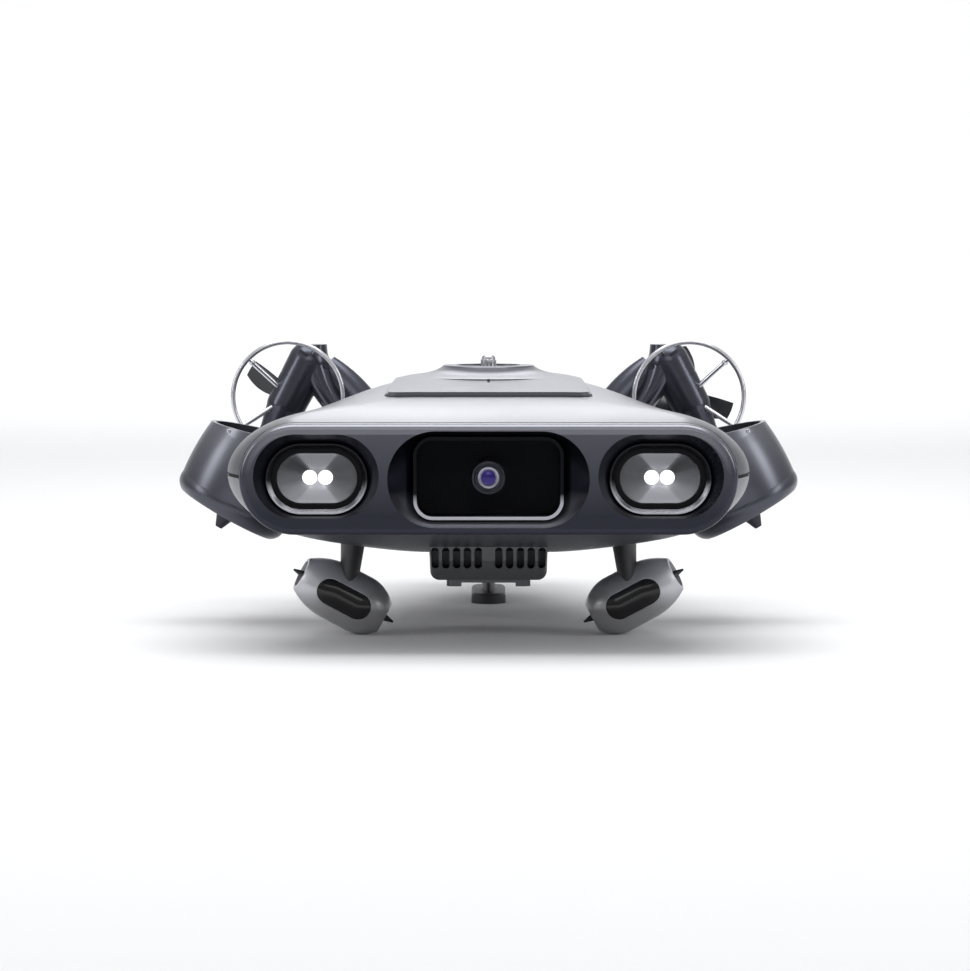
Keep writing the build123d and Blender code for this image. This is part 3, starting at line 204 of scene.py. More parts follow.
@dataclass(frozen=True)
class Recess:
    """A stadium-shaped recess of the front mask, on both sides of the middle.

    Attributes:
        centre: Distance of its centre from the middle, in millimetres.
        height: Height of its centre.
        straight: Half of its straight side.
        radius: Radius of its ends.
    """

    centre: float
    height: float
    straight: float
    radius: float

    def share(self, graph: Graph) -> Socket:
        """Gives 1 inside the recess and 0 outside it.

        Args:
            graph: Nodes of the material.

        Returns:
            The share of the recess.
        """
        x, _, z = graph.axes()
        across = graph.math("SUBTRACT", graph.math("ABSOLUTE", x), self.centre * MM)
        up = graph.math("SUBTRACT", z, self.height * MM)
        return graph.ramp(graph.stadium(across, up, self.straight, self.radius), 0.1, -0.1)


@dataclass(frozen=True)
class Finish:
    """One surface finish, made into a procedural material.

    Attributes:
        name: Name of the material.
        color: Linear base colour.
        metallic: Share of metal, 0 to 1.
        roughness: Middle of the roughness range.
        grain: Kind of surface break-up.
        grain_scale: Cells of the grain per metre.
        bump: Height of the grain in metres.
        variation: How far the colour drifts over the surface.
        coat: Strength of a clear coat.
        coat_roughness: Roughness of the clear coat.
        specular: Specular level of the bare surface.
        wear: Strength of the pale wear on convex edges.
    """

    name: str
    color: Color
    metallic: float = 0.0
    roughness: float = 0.4
    grain: Grain = Grain.SATIN
    grain_scale: float = 900.0
    bump: float = 0.000002
    variation: float = 0.05
    coat: float = 0.0
    coat_roughness: float = 0.1
    specular: float = 0.5
    wear: float = 0.0

    def build(self) -> bpy.types.Material:
        """Builds the material.

        Returns:
            The finished material.
        """
        graph = Graph(self.name)
        shader = graph.shader
        shader.inputs["Metallic"].default_value = self.metallic
        shader.inputs["Coat Weight"].default_value = self.coat
        shader.inputs["Coat Roughness"].default_value = self.coat_roughness
        shader.inputs["Specular IOR Level"].default_value = self.specular
        cloud = graph.noise(14.0, 4.0)
        stretch = (1.0, 0.04, 1.0) if self.grain is Grain.BRUSHED else (1.0, 1.0, 1.0)
        fine = graph.noise(self.grain_scale, 1.0 if self.grain is Grain.MATT else 3.0, stretch)
        graph.feed(self.paint(graph, cloud), shader.inputs["Base Color"])
        self._polish(graph, cloud, fine)
        if self.grain is not Grain.PLAIN:
            self._relief(graph, fine)
        return graph.material

    def paint(self, graph: Graph, cloud: Socket) -> Socket:
        """Drifts the base colour over the surface and lightens worn edges.

        Args:
            graph: Nodes of the material.
            cloud: Slow noise over the surface.

        Returns:
            The colour.
        """
        low = tuple(value * (1.0 - self.variation) for value in self.color)
        high = tuple(min(1.0, value * (1.0 + self.variation)) for value in self.color)
        color = graph.mix(cloud, low, high)
        if self.wear > 0.0:
            geometry = graph.tree.nodes.new("ShaderNodeNewGeometry")
            share = graph.ramp(geometry.outputs["Pointiness"], 0.54, 0.68, 0.0, self.wear)
            color = graph.mix(share, color, (0.6, 0.61, 0.65))
        return color

    def _polish(self, graph: Graph, cloud: Socket, fine: Socket) -> None:
        """Varies the roughness with the cloud and the grain.

        Args:
            graph: Nodes of the material.
            cloud: Slow noise over the surface.
            fine: Fine grain of the finish.
        """
        both = graph.math("MULTIPLY_ADD", fine, 0.4, graph.math("MULTIPLY", cloud, 0.6))
        rough = graph.ramp(both, 0.3, 0.7, self.roughness * 0.88, min(1.0, self.roughness * 1.12))
        graph.feed(rough, graph.shader.inputs["Roughness"])

    def _relief(self, graph: Graph, fine: Socket) -> None:
        """Adds the relief of the grain.

        Args:
            graph: Nodes of the material.
            fine: Fine grain of the finish.
        """
        bump = graph.tree.nodes.new("ShaderNodeBump")
        bump.inputs["Distance"].default_value = self.bump
        graph.feed(fine, bump.inputs["Height"])
        graph.feed(bump.outputs["Normal"], graph.shader.inputs["Normal"])


@dataclass(frozen=True)
class PaintedLightGrade(Finish):
    """A finish with painted light and shade: one colour below goes to another above, standing in for how the light
    falls.

    Attributes:
        top_lighting_color: Linear colour above; lighter than the base colour it paints light, darker it paints shade.
        low: Height in millimetres up to which the base colour holds.
        high: Height from which the top colour holds.
    """

    top_lighting_color: Color = (0.0, 0.0, 0.0)
    low: float = 0.0
    high: float = 1.0

    def paint(self, graph: Graph, cloud: Socket) -> Socket:
        """Paints light and shade by height over the drifting colour.

        Args:
            graph: Nodes of the material.
            cloud: Slow noise over the surface.

        Returns:
            The colour.
        """
        _, _, z = graph.axes()
        share = graph.ramp(z, self.low * MM, self.high * MM)
        return graph.mix(share, super().paint(graph, cloud), self.top_lighting_color)


@dataclass(frozen=True)
class MaskPaintedLight(PaintedLightGrade):
    """The front mask's material with painted light: a painted highlight on the brow, painted shade on the recess walls
    and painted light on the lowest wall of the camera recess.

    Attributes:
        recesses: The recesses of the mask.
        recess_shade_color: Linear colour of the painted shade on their walls.
        sill_light_color: Linear colour of the painted light on the lowest part of the camera recess's walls.
        face: Place of the mask's face along Y, in millimetres.
        outline: The mask's face inside its brow; outside it the brow takes the painted highlight.
        brow_highlight_color: Linear colour of the painted highlight on the brow.
    """

    recesses: tuple[Recess, ...] = ()
    recess_shade_color: Color = (0.0, 0.0, 0.0)
    sill_light_color: Color = (0.0, 0.0, 0.0)
    face: float = -195.0
    outline: Recess | None = None
    brow_highlight_color: Color = (0.0, 0.0, 0.0)

    def paint(self, graph: Graph, cloud: Socket) -> Socket:
        """Adds the painted brow highlight and the painted shade and light of the recess walls to the drifting colour.

        Args:
            graph: Nodes of the material.
            cloud: Slow noise over the surface.

        Returns:
            The colour.
        """
        color = super().paint(graph, cloud)
        _, y, z = graph.axes()
        # Painted highlight: a light band on the brow round the mask's face, above 93 mm.
        if self.outline is not None:
            beyond = graph.math("SUBTRACT", 1.0, self.outline.share(graph))
            brow = graph.math("MULTIPLY", beyond, graph.ramp(z, 0.093, 0.112))
            color = graph.mix(brow, color, self.brow_highlight_color)
        # Painted shade: the walls behind the mask's face go dark inside each recess.
        behind = graph.ramp(y, (self.face + 0.05) * MM, (self.face + 0.2) * MM)
        for recess in self.recesses:
            share = graph.math("MULTIPLY", recess.share(graph), behind)
            # Painted light: the lowest wall of the camera recess is lighter, as if lit from above.
            sill = graph.ramp(z, (recess.height - recess.radius + 1.0) * MM, (recess.height - 6.0) * MM)
            wall = graph.mix(sill, self.sill_light_color if recess.centre == 0.0 else self.recess_shade_color, self.recess_shade_color)
            color = graph.mix(share, color, wall)
        return color


@dataclass(frozen=True)
class BowlPaintedReflections(Finish):
    """The polished bowl of a head lamp, with painted reflections: lighter and darker parts round its centre stand in
    for reflected light.

    Attributes:
        centre: Distance of the bowl's centre from the middle, in millimetres.
        height: Height of the bowl's centre.
        reflection_sectors: Turn round the bowl, from 0 to 1, and the brightness of the painted reflection at it.
    """

    centre: float = 0.0
    height: float = 0.0
    reflection_sectors: tuple[tuple[float, float], ...] = ()

    def paint(self, graph: Graph, cloud: Socket) -> Socket:
        """Paints reflections on the bowl by the turn round its centre.

        Args:
            graph: Nodes of the material.
            cloud: Slow noise over the surface.

        Returns:
            The colour.
        """
        x, _, z = graph.axes()
        outward = graph.math("SUBTRACT", graph.math("ABSOLUTE", x), self.centre * MM)
        up = graph.math("SUBTRACT", z, self.height * MM)
        turn = graph.ramp(graph.math("ARCTAN2", up, outward), -math.pi, math.pi)
        node = graph.tree.nodes.new("ShaderNodeValToRGB")
        steps = node.color_ramp.elements
        shades = [(place, [light * value for value in self.color]) for place, light in self.reflection_sectors]
        for step, (_, shade) in ((steps[0], shades[0]), (steps[1], shades[-1])):
            step.color = (*shade, 1.0)
        for place, shade in shades[1:-1]:
            steps.new(place).color = (*shade, 1.0)
        graph.feed(turn, node.inputs["Fac"])
        return node.outputs["Color"]


@dataclass(frozen=True)
class Glass:
    """A clear or coated pane.

    Attributes:
        name: Name of the material.
        tint: Colour of what passes through.
        roughness: Roughness of the pane.
        see_through: Share of light that passes straight through.
        coating: Colour of the coating.
        specular: Specular level of the coating.
    """

    name: str
    tint: Color
    roughness: float
    see_through: float
    coating: Color
    specular: float = 0.5

    def build(self) -> bpy.types.Material:
        """Builds the material as a thin pane.

        Returns:
            The finished material.
        """
        graph = Graph(self.name)
        shader = graph.shader
        shader.inputs["Base Color"].default_value = (*self.coating, 1.0)
        shader.inputs["IOR"].default_value = 1.5
        shader.inputs["Specular IOR Level"].default_value = self.specular
        rough = graph.ramp(graph.noise(30.0, 2.0), 0.0, 1.0, self.roughness, self.roughness + 0.03)
        graph.feed(rough, shader.inputs["Roughness"])
        clear = graph.tree.nodes.new("ShaderNodeBsdfTransparent")
        clear.inputs["Color"].default_value = (*self.tint, 1.0)
        blend = graph.tree.nodes.new("ShaderNodeMixShader")
        blend.inputs["Fac"].default_value = self.see_through
        graph.feed(shader.outputs["BSDF"], blend.inputs[1])
        graph.feed(clear.outputs["BSDF"], blend.inputs[2])
        graph.feed(blend.outputs["Shader"], graph.tree.nodes["Material Output"].inputs["Surface"])
        return graph.material


@dataclass(frozen=True)
class BeadGlow:
    """The two lit beads of each head lamp on their dark board.

    Attributes:
        name: Name of the material.
        color: Colour of the light.
        strength: Strength of the light.
        centre: Distance of the lamp from the middle, in millimetres.
        height: Height of the beads.
        spacing: Half of the distance between the beads.
        radius: Radius of a bead.
    """

    name: str
    color: Color
    strength: float
    centre: float
    height: float
    spacing: float
    radius: float

    def build(self) -> bpy.types.Material:
        """Builds the material.

        Returns:
            The finished material.
        """
        graph = Graph(self.name)
        x, _, z = graph.axes()
        beside = graph.math("ABSOLUTE", graph.math("SUBTRACT", graph.math("ABSOLUTE", x), self.centre * MM))
        across = graph.math("SUBTRACT", beside, self.spacing * MM)
        up = graph.math("SUBTRACT", z, self.height * MM)
        lit = graph.ramp(graph.stadium(across, up, 0.0, self.radius), 0.1, -0.25)
        flicker = graph.ramp(graph.noise(400.0, 2.0), 0.0, 1.0, self.strength * 0.97, self.strength * 1.03)
        graph.feed(graph.mix(lit, (0.16, 0.16, 0.17), (0.9, 0.9, 0.9)), graph.shader.inputs["Base Color"])
        graph.shader.inputs["Emission Color"].default_value = (*self.color, 1.0)
        graph.feed(graph.math("MULTIPLY", lit, flicker), graph.shader.inputs["Emission Strength"])
        return graph.material


AnyFinish = Finish | Glass | BeadGlow

LAMP_X, AXIS_Z = 87.7, 90.4
LAMP_RECESS = Recess(LAMP_X, 92.0, 10.5, 21.7)
CAMERA_RECESS = Recess(0.0, AXIS_Z, 26.8, 24.9)
# Painted reflections of the lamp bowls: brightness at each turn round the bowl.
BOWL_REFLECTION_SECTORS = (
    (0.0, 0.1), (0.06, 0.2), (0.125, 0.42), (0.145, 0.8), (0.355, 0.8), (0.375, 0.55), (0.43, 0.42), (0.48, 0.2),
    (0.52, 0.12), (0.555, 0.03), (0.6, 0.02), (0.628, 0.1), (0.648, 0.4), (0.855, 0.4), (0.872, 0.13), (0.94, 0.08),
    (1.0, 0.1),
)

GUNMETAL = Finish("gunmetal", (0.13, 0.134, 0.156), 0.85, 0.31, grain_scale=1400.0, wear=0.1)
# Upper shell: painted light, dark below 92 mm going to light above 122 mm, where the overhead light falls.
NOSE_SATIN_PAINTED_LIGHT = PaintedLightGrade("nose_satin_painted_light", (0.07, 0.072, 0.088), 0.85, 0.32, grain_scale=1400.0, wear=0.1,
                          top_lighting_color=(0.23, 0.234, 0.262), low=92.0, high=122.0)
# Side ducts: painted light, dark below 70 mm going to light on the upper part above 110 mm.
DUCT_SATIN_PAINTED_LIGHT = PaintedLightGrade("duct_satin_painted_light", (0.085, 0.088, 0.108), 0.85, 0.3, grain_scale=1400.0, wear=0.1,
                          top_lighting_color=(0.2, 0.205, 0.235), low=70.0, high=110.0)
# Front mask: painted light, darker below 72 mm and lighter above 114 mm, plus a painted brow highlight, painted shade
# in the recesses and painted light low in the camera recess.
MASK_SATIN_PAINTED_LIGHT = MaskPaintedLight("mask_satin_painted_light", (0.03, 0.032, 0.045), 0.85, 0.29, grain_scale=1400.0, bump=0.0000004,
                        top_lighting_color=(0.105, 0.108, 0.13), low=72.0, high=114.0,
                        recesses=(LAMP_RECESS, CAMERA_RECESS), recess_shade_color=(0.01, 0.011, 0.019),
                        sill_light_color=(0.26, 0.265, 0.3), outline=Recess(0.0, AXIS_Z, 98.7, 23.0),
                        brow_highlight_color=(0.21, 0.214, 0.242))
DECK_SATIN = Finish("deck_satin", (0.16, 0.164, 0.19), 0.85, 0.3, grain_scale=1400.0, wear=0.12)
ARM_SATIN = Finish("arm_satin", (0.085, 0.088, 0.11), 0.85, 0.26, grain_scale=1400.0, wear=0.08)
# Lower pods: painted light, a pale upper half above 24 mm over a darker lower half.
POD_SATIN_PAINTED_LIGHT = PaintedLightGrade("pod_satin_painted_light", (0.34, 0.34, 0.345), 0.6, 0.3, grain_scale=1400.0, wear=0.1,
                         top_lighting_color=(0.56, 0.565, 0.6), low=15.0, high=24.0)
KEEL_SATIN = Finish("keel_satin", (0.1, 0.102, 0.108), 0.5, 0.42, Grain.SATIN, 1800.0, 0.000004)
SKID_BLACK = Finish("skid_black", (0.03, 0.03, 0.034), 0.0, 0.5, Grain.MATT, 2600.0, 0.00001)
RUBBER = Finish("rubber", (0.004, 0.004, 0.005), 0.0, 0.55, Grain.MATT, 2200.0, 0.00001, specular=0.1)
# Window trim: bright metal on the lower U, painted shade making the part above 82.5 mm dark.
TRIM_PAINTED_SHADE = PaintedLightGrade("trim", (0.5, 0.5, 0.55), 1.0, 0.24, Grain.BRUSHED, 2600.0, 0.000002,
                    top_lighting_color=(0.012, 0.012, 0.015), low=77.5, high=82.5)
# Lamp rings: bright metal on the lower part, painted shade making the part above 90 mm dark.
RING_PAINTED_SHADE = PaintedLightGrade("ring", (0.5, 0.5, 0.54), 1.0, 0.26, Grain.SATIN, 2600.0, 0.000001,
                    top_lighting_color=(0.025, 0.025, 0.03), low=80.0, high=90.0)
WIRE = Finish("wire", (0.7, 0.7, 0.74), 1.0, 0.24, Grain.SATIN, 2600.0, 0.000001)
TURNED = Finish("turned", (0.3, 0.3, 0.33), 1.0, 0.26, Grain.BRUSHED, 3000.0, 0.000002)
KNOB = Finish("knob", (0.55, 0.55, 0.58), 1.0, 0.32, Grain.SATIN, 3000.0, 0.000002)
STEEL = Finish("steel", (0.36, 0.36, 0.38), 1.0, 0.3, Grain.SATIN, 3000.0, 0.000002)
RETAINER = Finish("retainer", (0.85, 0.85, 0.9), 1.0, 0.3, Grain.SATIN, 3000.0, 0.0000005)
RAIL = Finish("rail", (0.1, 0.1, 0.11), 0.9, 0.36, Grain.SATIN, 2000.0, 0.000004)
BLACK_SATIN = Finish("black_satin", (0.02, 0.02, 0.024), 0.2, 0.32, Grain.SATIN, 2000.0, 0.000004)
CAMERA_MATT = Finish("camera_matt", (0.003, 0.003, 0.004), 0.0, 0.6, Grain.MATT, 2400.0, 0.000004, specular=0.15)
BEZEL = Finish("bezel", (0.09, 0.09, 0.1), 0.7, 0.22, Grain.SATIN, 2400.0, 0.000001)
MOTOR = Finish("motor", (0.04, 0.04, 0.05), 0.8, 0.34, Grain.SATIN, 2400.0, 0.000004)
BLADE = Finish("blade", (0.02, 0.021, 0.026), 0.1, 0.22, Grain.SATIN, 1800.0, 0.000003, coat=0.3)
INSET = Finish("inset", (0.004, 0.004, 0.005), 0.0, 0.14, Grain.PLAIN, coat=0.4, specular=0.3)
# Lamp bowls: painted reflections, lighter and darker parts round the centre.
BOWL = BowlPaintedReflections("bowl", (0.97, 0.97, 1.0), 0.25, 0.34, Grain.SATIN, 3000.0, 0.0000003, specular=0.3,
                  centre=LAMP_X, height=AXIS_Z, reflection_sectors=BOWL_REFLECTION_SECTORS)
REFLECTOR = Finish("reflector", (0.6, 0.6, 0.63), 1.0, 0.16, Grain.SATIN, 3000.0, 0.000001)
SOCKET = Finish("socket", (0.3, 0.28, 0.25), 1.0, 0.35, Grain.BRUSHED, 2600.0, 0.000004)
PIN = Finish("pin", (0.7, 0.52, 0.22), 1.0, 0.25, Grain.SATIN, 3000.0, 0.000002)
BOARD = Finish("board", (0.02, 0.1, 0.05), 0.0, 0.35, Grain.SATIN, 1200.0, 0.000008)
SMOKED = Finish("smoked", (0.01, 0.01, 0.012), 0.0, 0.2, Grain.PLAIN, coat=0.3)
WINDOW = Glass("window_pane", (0.94, 0.94, 0.97), 0.03, 0.84, (0.002, 0.002, 0.003), 0.12)
LAMP_PANE = Glass("lamp_pane", (0.99, 0.99, 1.0), 0.03, 0.96, (0.4, 0.42, 0.45), 0.4)
LENS_COAT = Finish("lens_coat", (0.07, 0.03, 0.38), 0.35, 0.06, Grain.PLAIN, coat=1.0, coat_roughness=0.02)
BEADS = BeadGlow("beads", (0.97, 0.985, 1.0), 1.6, LAMP_X, AXIS_Z, 4.05, 3.9)

NODE_FINISH = {
    "upper_shell": NOSE_SATIN_PAINTED_LIGHT, "lower_shell": GUNMETAL, "seam_seal": RUBBER, "front_mask": MASK_SATIN_PAINTED_LIGHT,
    "window_trim": TRIM_PAINTED_SHADE, "camera_window": WINDOW, "camera_housing": CAMERA_MATT, "camera_lens": LENS_COAT,
    "deck_panel": DECK_SATIN, "status_light": SMOKED, "port_lid": TURNED, "thumb_screw": KNOB,
    "belly_keel": KEEL_SATIN, "accessory_rail": RAIL, "rear_skid": SKID_BLACK, "rear_cap": GUNMETAL,
    "tether_socket": SOCKET, "battery_bed": RUBBER, "battery_pack": BLACK_SATIN, "electronics_tray": TURNED,
    "control_board": BOARD,
}
PAIRED_FINISH = {
    "lamp_ring": RING_PAINTED_SHADE, "lamp_gasket": RUBBER, "lamp_lens": LAMP_PANE, "lamp_reflector": REFLECTOR,
    "lamp_leds": BEADS, "upper_arm": ARM_SATIN, "upper_guard": WIRE, "upper_motor": MOTOR,
    "upper_propeller": BLADE, "side_duct": DUCT_SATIN_PAINTED_LIGHT, "side_motor": MOTOR, "side_propeller": BLADE,
    "lower_pod": POD_SATIN_PAINTED_LIGHT, "pod_inset": INSET, "pod_core": MOTOR, "pod_propeller": BLADE,
    "lower_strut": SKID_BLACK,
}


class Wardrobe:
    """Builds each finish once and puts it on pieces."""

    def __init__(self) -> None:
        """Starts with no material built."""
        self._made: dict[str, bpy.types.Material] = {}

    def material(self, finish: AnyFinish) -> bpy.types.Material:
        """Gives the material of a finish.

        Args:
            finish: The finish wanted.

        Returns:
            Its material, built on first use.
        """
        if finish.name not in self._made:
            self._made[finish.name] = finish.build()
        return self._made[finish.name]

    def dress(self, piece: bpy.types.Object, finish: AnyFinish) -> None:
        """Gives a piece one finish all over.

        Args:
            piece: The piece.
            finish: Its finish.
        """
        piece.data.materials.clear()
        piece.data.materials.append(self.material(finish))


def facing(origin: Vector, outward: Vector, side: Vector = Vector((1.0, 0.0, 0.0))) -> Matrix:
    """Gives the placing matrix whose Z axis points outwards.

    Args:
        origin: Where the local origin goes, in metres.
        outward: Direction of the local Z axis.
        side: Rough direction of the local X axis.

    Returns:
        The placing matrix.
    """
    up = outward.normalized()
    if abs(up.dot(side)) > 0.95:
        side = Vector((0.0, 1.0, 0.0))
    across = (side - up * side.dot(up)).normalized()
    third = up.cross(across)
    turn = Matrix((across, third, up)).transposed().to_4x4()
    return Matrix.Translation(origin) @ turn


class Shaper:
    """Turns bmesh work into finished pieces."""

    def __init__(self, wardrobe: Wardrobe) -> None:
        """Keeps the finishes.

        Args:
            wardrobe: Where finishes come from.
        """
        self.wardrobe = wardrobe

    def piece(self, form: bmesh.types.BMesh, name: str, finish: AnyFinish, body: str = HULL,
              crease: float = 32.0) -> bpy.types.Object:
        """Makes a piece of a bmesh, dresses it and lets it ride on a body.

        Args:
            form: The bmesh, freed here.
            name: Name of the piece.
            finish: Its finish.
            body: Body that carries it.
            crease: Angle in degrees past which an edge stays sharp.

        Returns:
            The piece.
        """
        limit = math.radians(crease)
        for edge in form.edges:
            edge.smooth = len(edge.link_faces) != 2 or edge.calc_face_angle(0.0) <= limit
        for face in form.faces:
            face.smooth = True
        mesh = bpy.data.meshes.new(name)
        form.to_mesh(mesh)
        form.free()
        piece = bpy.data.objects.new(name, mesh)
        bpy.context.scene.collection.objects.link(piece)
        self.wardrobe.dress(piece, finish)
        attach(piece, body)
        LOG.info("made %s", name)
        return piece

    def turned(self, form: bmesh.types.BMesh, profile: list[tuple[float, float]], place: Matrix,
               steps: int = 48) -> list[bmesh.types.BMVert]:
        """Spins a profile of radius and height about the local Z axis and sets it in place.

        Args:
            form: The bmesh that takes the form.
            profile: Points of radius and height in millimetres, closed if they end where they start.
            place: Where the local origin and axes go.
            steps: Steps of the full turn.

        Returns:
            The new vertices.
        """
        before = set(form.verts)
        closed = profile[0] == profile[-1]
        rim = profile[:-1] if closed else profile
        verts = [form.verts.new((radius * MM, 0.0, height * MM)) for radius, height in rim]
        pairs = list(zip(verts, verts[1:]))
        if closed:
            pairs.append((verts[-1], verts[0]))
        edges = [form.edges.new(pair) for pair in pairs]
        bmesh.ops.spin(form, geom=verts + edges, cent=(0, 0, 0), axis=(0, 0, 1), dvec=(0, 0, 0),
                       angle=2 * math.pi, steps=steps, use_merge=True)
        fresh = [vert for vert in form.verts if vert not in before]
        bmesh.ops.remove_doubles(form, verts=fresh, dist=1e-7)
        fresh = [vert for vert in form.verts if vert not in before]
        faces = {face for vert in fresh for face in vert.link_faces}
        bmesh.ops.recalc_face_normals(form, faces=list(faces))
        bmesh.ops.transform(form, matrix=place, verts=fresh)
        return fresh

    def ring(self, form: bmesh.types.BMesh, width: float, height: float, origin: Vector, outward: Vector,
             segments: int = 96) -> list[bmesh.types.BMEdge]:
        """Draws a stadium outline, or a circle if its width and height are equal.

        Args:
            form: The bmesh that takes the outline.
            width: Width in millimetres.
            height: Height in millimetres.
            origin: Centre of the outline, in metres.
            outward: Direction that the outline faces.
            segments: Segments of its round ends together.

        Returns:
            Its edges.
        """
        made = bmesh.ops.create_circle(form, cap_ends=False, segments=segments, radius=height / 2 * MM)["verts"]
        bmesh.ops.rotate(form, verts=made, cent=(0, 0, 0), matrix=Matrix.Rotation(math.pi / segments, 3, "Z"))
        for sign in (1.0, -1.0):
            half = [vert for vert in made if vert.co.x * sign > 0.0]
            bmesh.ops.translate(form, verts=half, vec=(sign * (width - height) / 2 * MM, 0.0, 0.0))
        bmesh.ops.transform(form, matrix=facing(origin, outward), verts=made)
        return list({edge for vert in made for edge in vert.link_edges})

    def stack(self, form: bmesh.types.BMesh, loops: list[list[bmesh.types.BMEdge]], closed: bool = False) -> None:
        """Joins outlines one after another, and caps the ends of an open row.

        Args:
            form: The bmesh that holds the outlines.
            loops: Edges of each outline, in order.
            closed: Whether the last outline is joined to the first.
        """
        pairs = list(zip(loops, loops[1:]))
        if closed:
            pairs.append((loops[-1], loops[0]))
        for first, second in pairs:
            bmesh.ops.bridge_loops(form, edges=first + second)
        if not closed:
            for loop in (loops[0], loops[-1]):
                bmesh.ops.contextual_create(form, geom=loop)
        bmesh.ops.recalc_face_normals(form, faces=form.faces)


class Probe:
    """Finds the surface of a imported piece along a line."""

    def __init__(self, node: bpy.types.Object) -> None:
        """Builds the search tree of the piece.

        Args:
            node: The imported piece.
        """
        mesh = node.data
        places = [vert.co.copy() for vert in mesh.vertices]
        faces = [tuple(face.vertices) for face in mesh.polygons]
        self.tree = BVHTree.FromPolygons(places, faces)

    def hit(self, start: tuple[float, float, float], toward: tuple[float, float, float]) -> tuple[Vector, Vector]:
        """Gives the first place where a line meets the piece.

        Args:
            start: Start of the line, in millimetres.
            toward: Direction of the line.

        Returns:
            The place in metres and the outward normal there.
        """
        line = Vector(toward).normalized()
        place, normal, _, _ = self.tree.ray_cast(Vector(start) * MM, line)
        if place is None:
            raise ValueError(f"nothing lies along the line from {start}")
        return place, normal if normal.dot(line) < 0.0 else -normal


@dataclass
class Cad:
    """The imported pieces, dressed as they are.

    Attributes:
        nodes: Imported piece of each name.
        wardrobe: Where finishes come from.
    """

    nodes: dict[str, bpy.types.Object]
    wardrobe: Wardrobe

    def dress(self) -> None:
        """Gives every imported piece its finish."""
        for name, finish in NODE_FINISH.items():
            self.wardrobe.dress(self.nodes[name], finish)
        for stem, finish in PAIRED_FINISH.items():
            for side in SIDES:
                self.wardrobe.dress(self.nodes[f"{stem}_{side}"], finish)
        LOG.info("dressed %d packed pieces", len(self.nodes))


@dataclass
class HeadLamps:
    """The polished bowls behind the lamp panes.

    Attributes:
        land: Width of the flat land round the mouth, in millimetres.
        depth: Depth of the bowl's floor below the mouth.
        floor: Width and height of the floor.
        swell: How far the wall bows outwards half-way down.
        lip: How far the land slopes inwards.
    """

    shaper: Shaper
    land: float = 0.3
    lip: float = 0.05
    depth: float = 6.4
    floor: tuple[float, float] = (16.6, 8.6)
    swell: float = 0.4

    def build(self) -> None:
        """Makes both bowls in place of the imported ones."""
        for side in SIDES:
            self._bowl(side)

    def _bowl(self, side: str) -> None:
        """Makes one bowl.

        Args:
            side: Name of the side.
        """
        node = f"lamp_reflector_{side}"
        low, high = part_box(node)
        centre = (Vector(low) + Vector(high)) / 2
        width, height = (high[0] - low[0]) / MM, (high[2] - low[2]) / MM
        mouth = (width - 2 * self.land, height - 2 * self.land)
        form = bmesh.new()
        rows = [(width, height, high[1]), (width, height, low[1]), (mouth[0], mouth[1], low[1] + self.lip * MM)]
        for share in (0.25, 0.5, 0.75, 1.0):
            bow = self.swell * 4.0 * share * (1.0 - share)
            wide = mouth[0] + (self.floor[0] - mouth[0]) * share + bow
            tall = mouth[1] + (self.floor[1] - mouth[1]) * share + bow
            rows.append((wide, tall, low[1] + self.depth * share * MM))
        loops = [self.shaper.ring(form, wide, tall, Vector((centre.x, y, centre.z)), FORWARD)
                 for wide, tall, y in rows]
        self.shaper.stack(form, loops)
        # The bowl's material paints its reflections.
        bowl = self.shaper.piece(form, f"lamp_bowl_painted_reflections_{side}", BOWL)
        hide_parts(node)


@dataclass
class CameraOptics:
    """The rings round the camera's lens.

    Attributes:
        lens_sink: How far the barrel's face stands in front of the lens dome, in millimetres.
    """

    shaper: Shaper
    barrel_radius: float = 8.7
    step_radius: float = 7.0
    front_lead: float = 0.49

    def build(self) -> None:
        """Makes the retaining ring, the bezel and the barrel's rim."""
        low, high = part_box("camera_lens")
        centre = Vector(((low[0] + high[0]) / 2, low[1], (low[2] + high[2]) / 2))
        place = facing(centre, FORWARD)
        self._ring("lens_retainer", RETAINER, place, [
            (3.7, -0.72), (3.85, -0.45), (5.2, 0.3), (5.45, 0.3), (5.55, 0.2), (5.55, -0.95), (4.75, -0.95),
            (4.4, -0.85), (3.7, -0.72)])
        self._ring("lens_bezel", BEZEL, place, [
            (5.6, -0.95), (5.6, -0.1), (5.9, -0.25), (6.6, 0.2), (6.95, 0.2), (6.95, -0.95), (5.6, -0.95)])
        rim = self.barrel_radius
        self._ring("barrel_rim", BEZEL, place, [
            (rim - 1.5, 0.5), (rim - 1.4, 0.75), (rim - 0.9, 0.62), (rim - 0.35, 0.95), (rim - 0.05, 0.8),
            (rim - 0.05, 0.5), (rim - 1.5, 0.5)])

    def _ring(self, name: str, finish: Finish, place: Matrix, profile: list[tuple[float, float]]) -> None:
        """Makes one turned ring.

        Args:
            name: Name of the ring.
            finish: Its finish.
            place: Where the lens dome's front lies.
            profile: Its closed outline.
        """
        form = bmesh.new()
        self.shaper.turned(form, profile, place, steps=96)
        self.shaper.piece(form, name, finish)


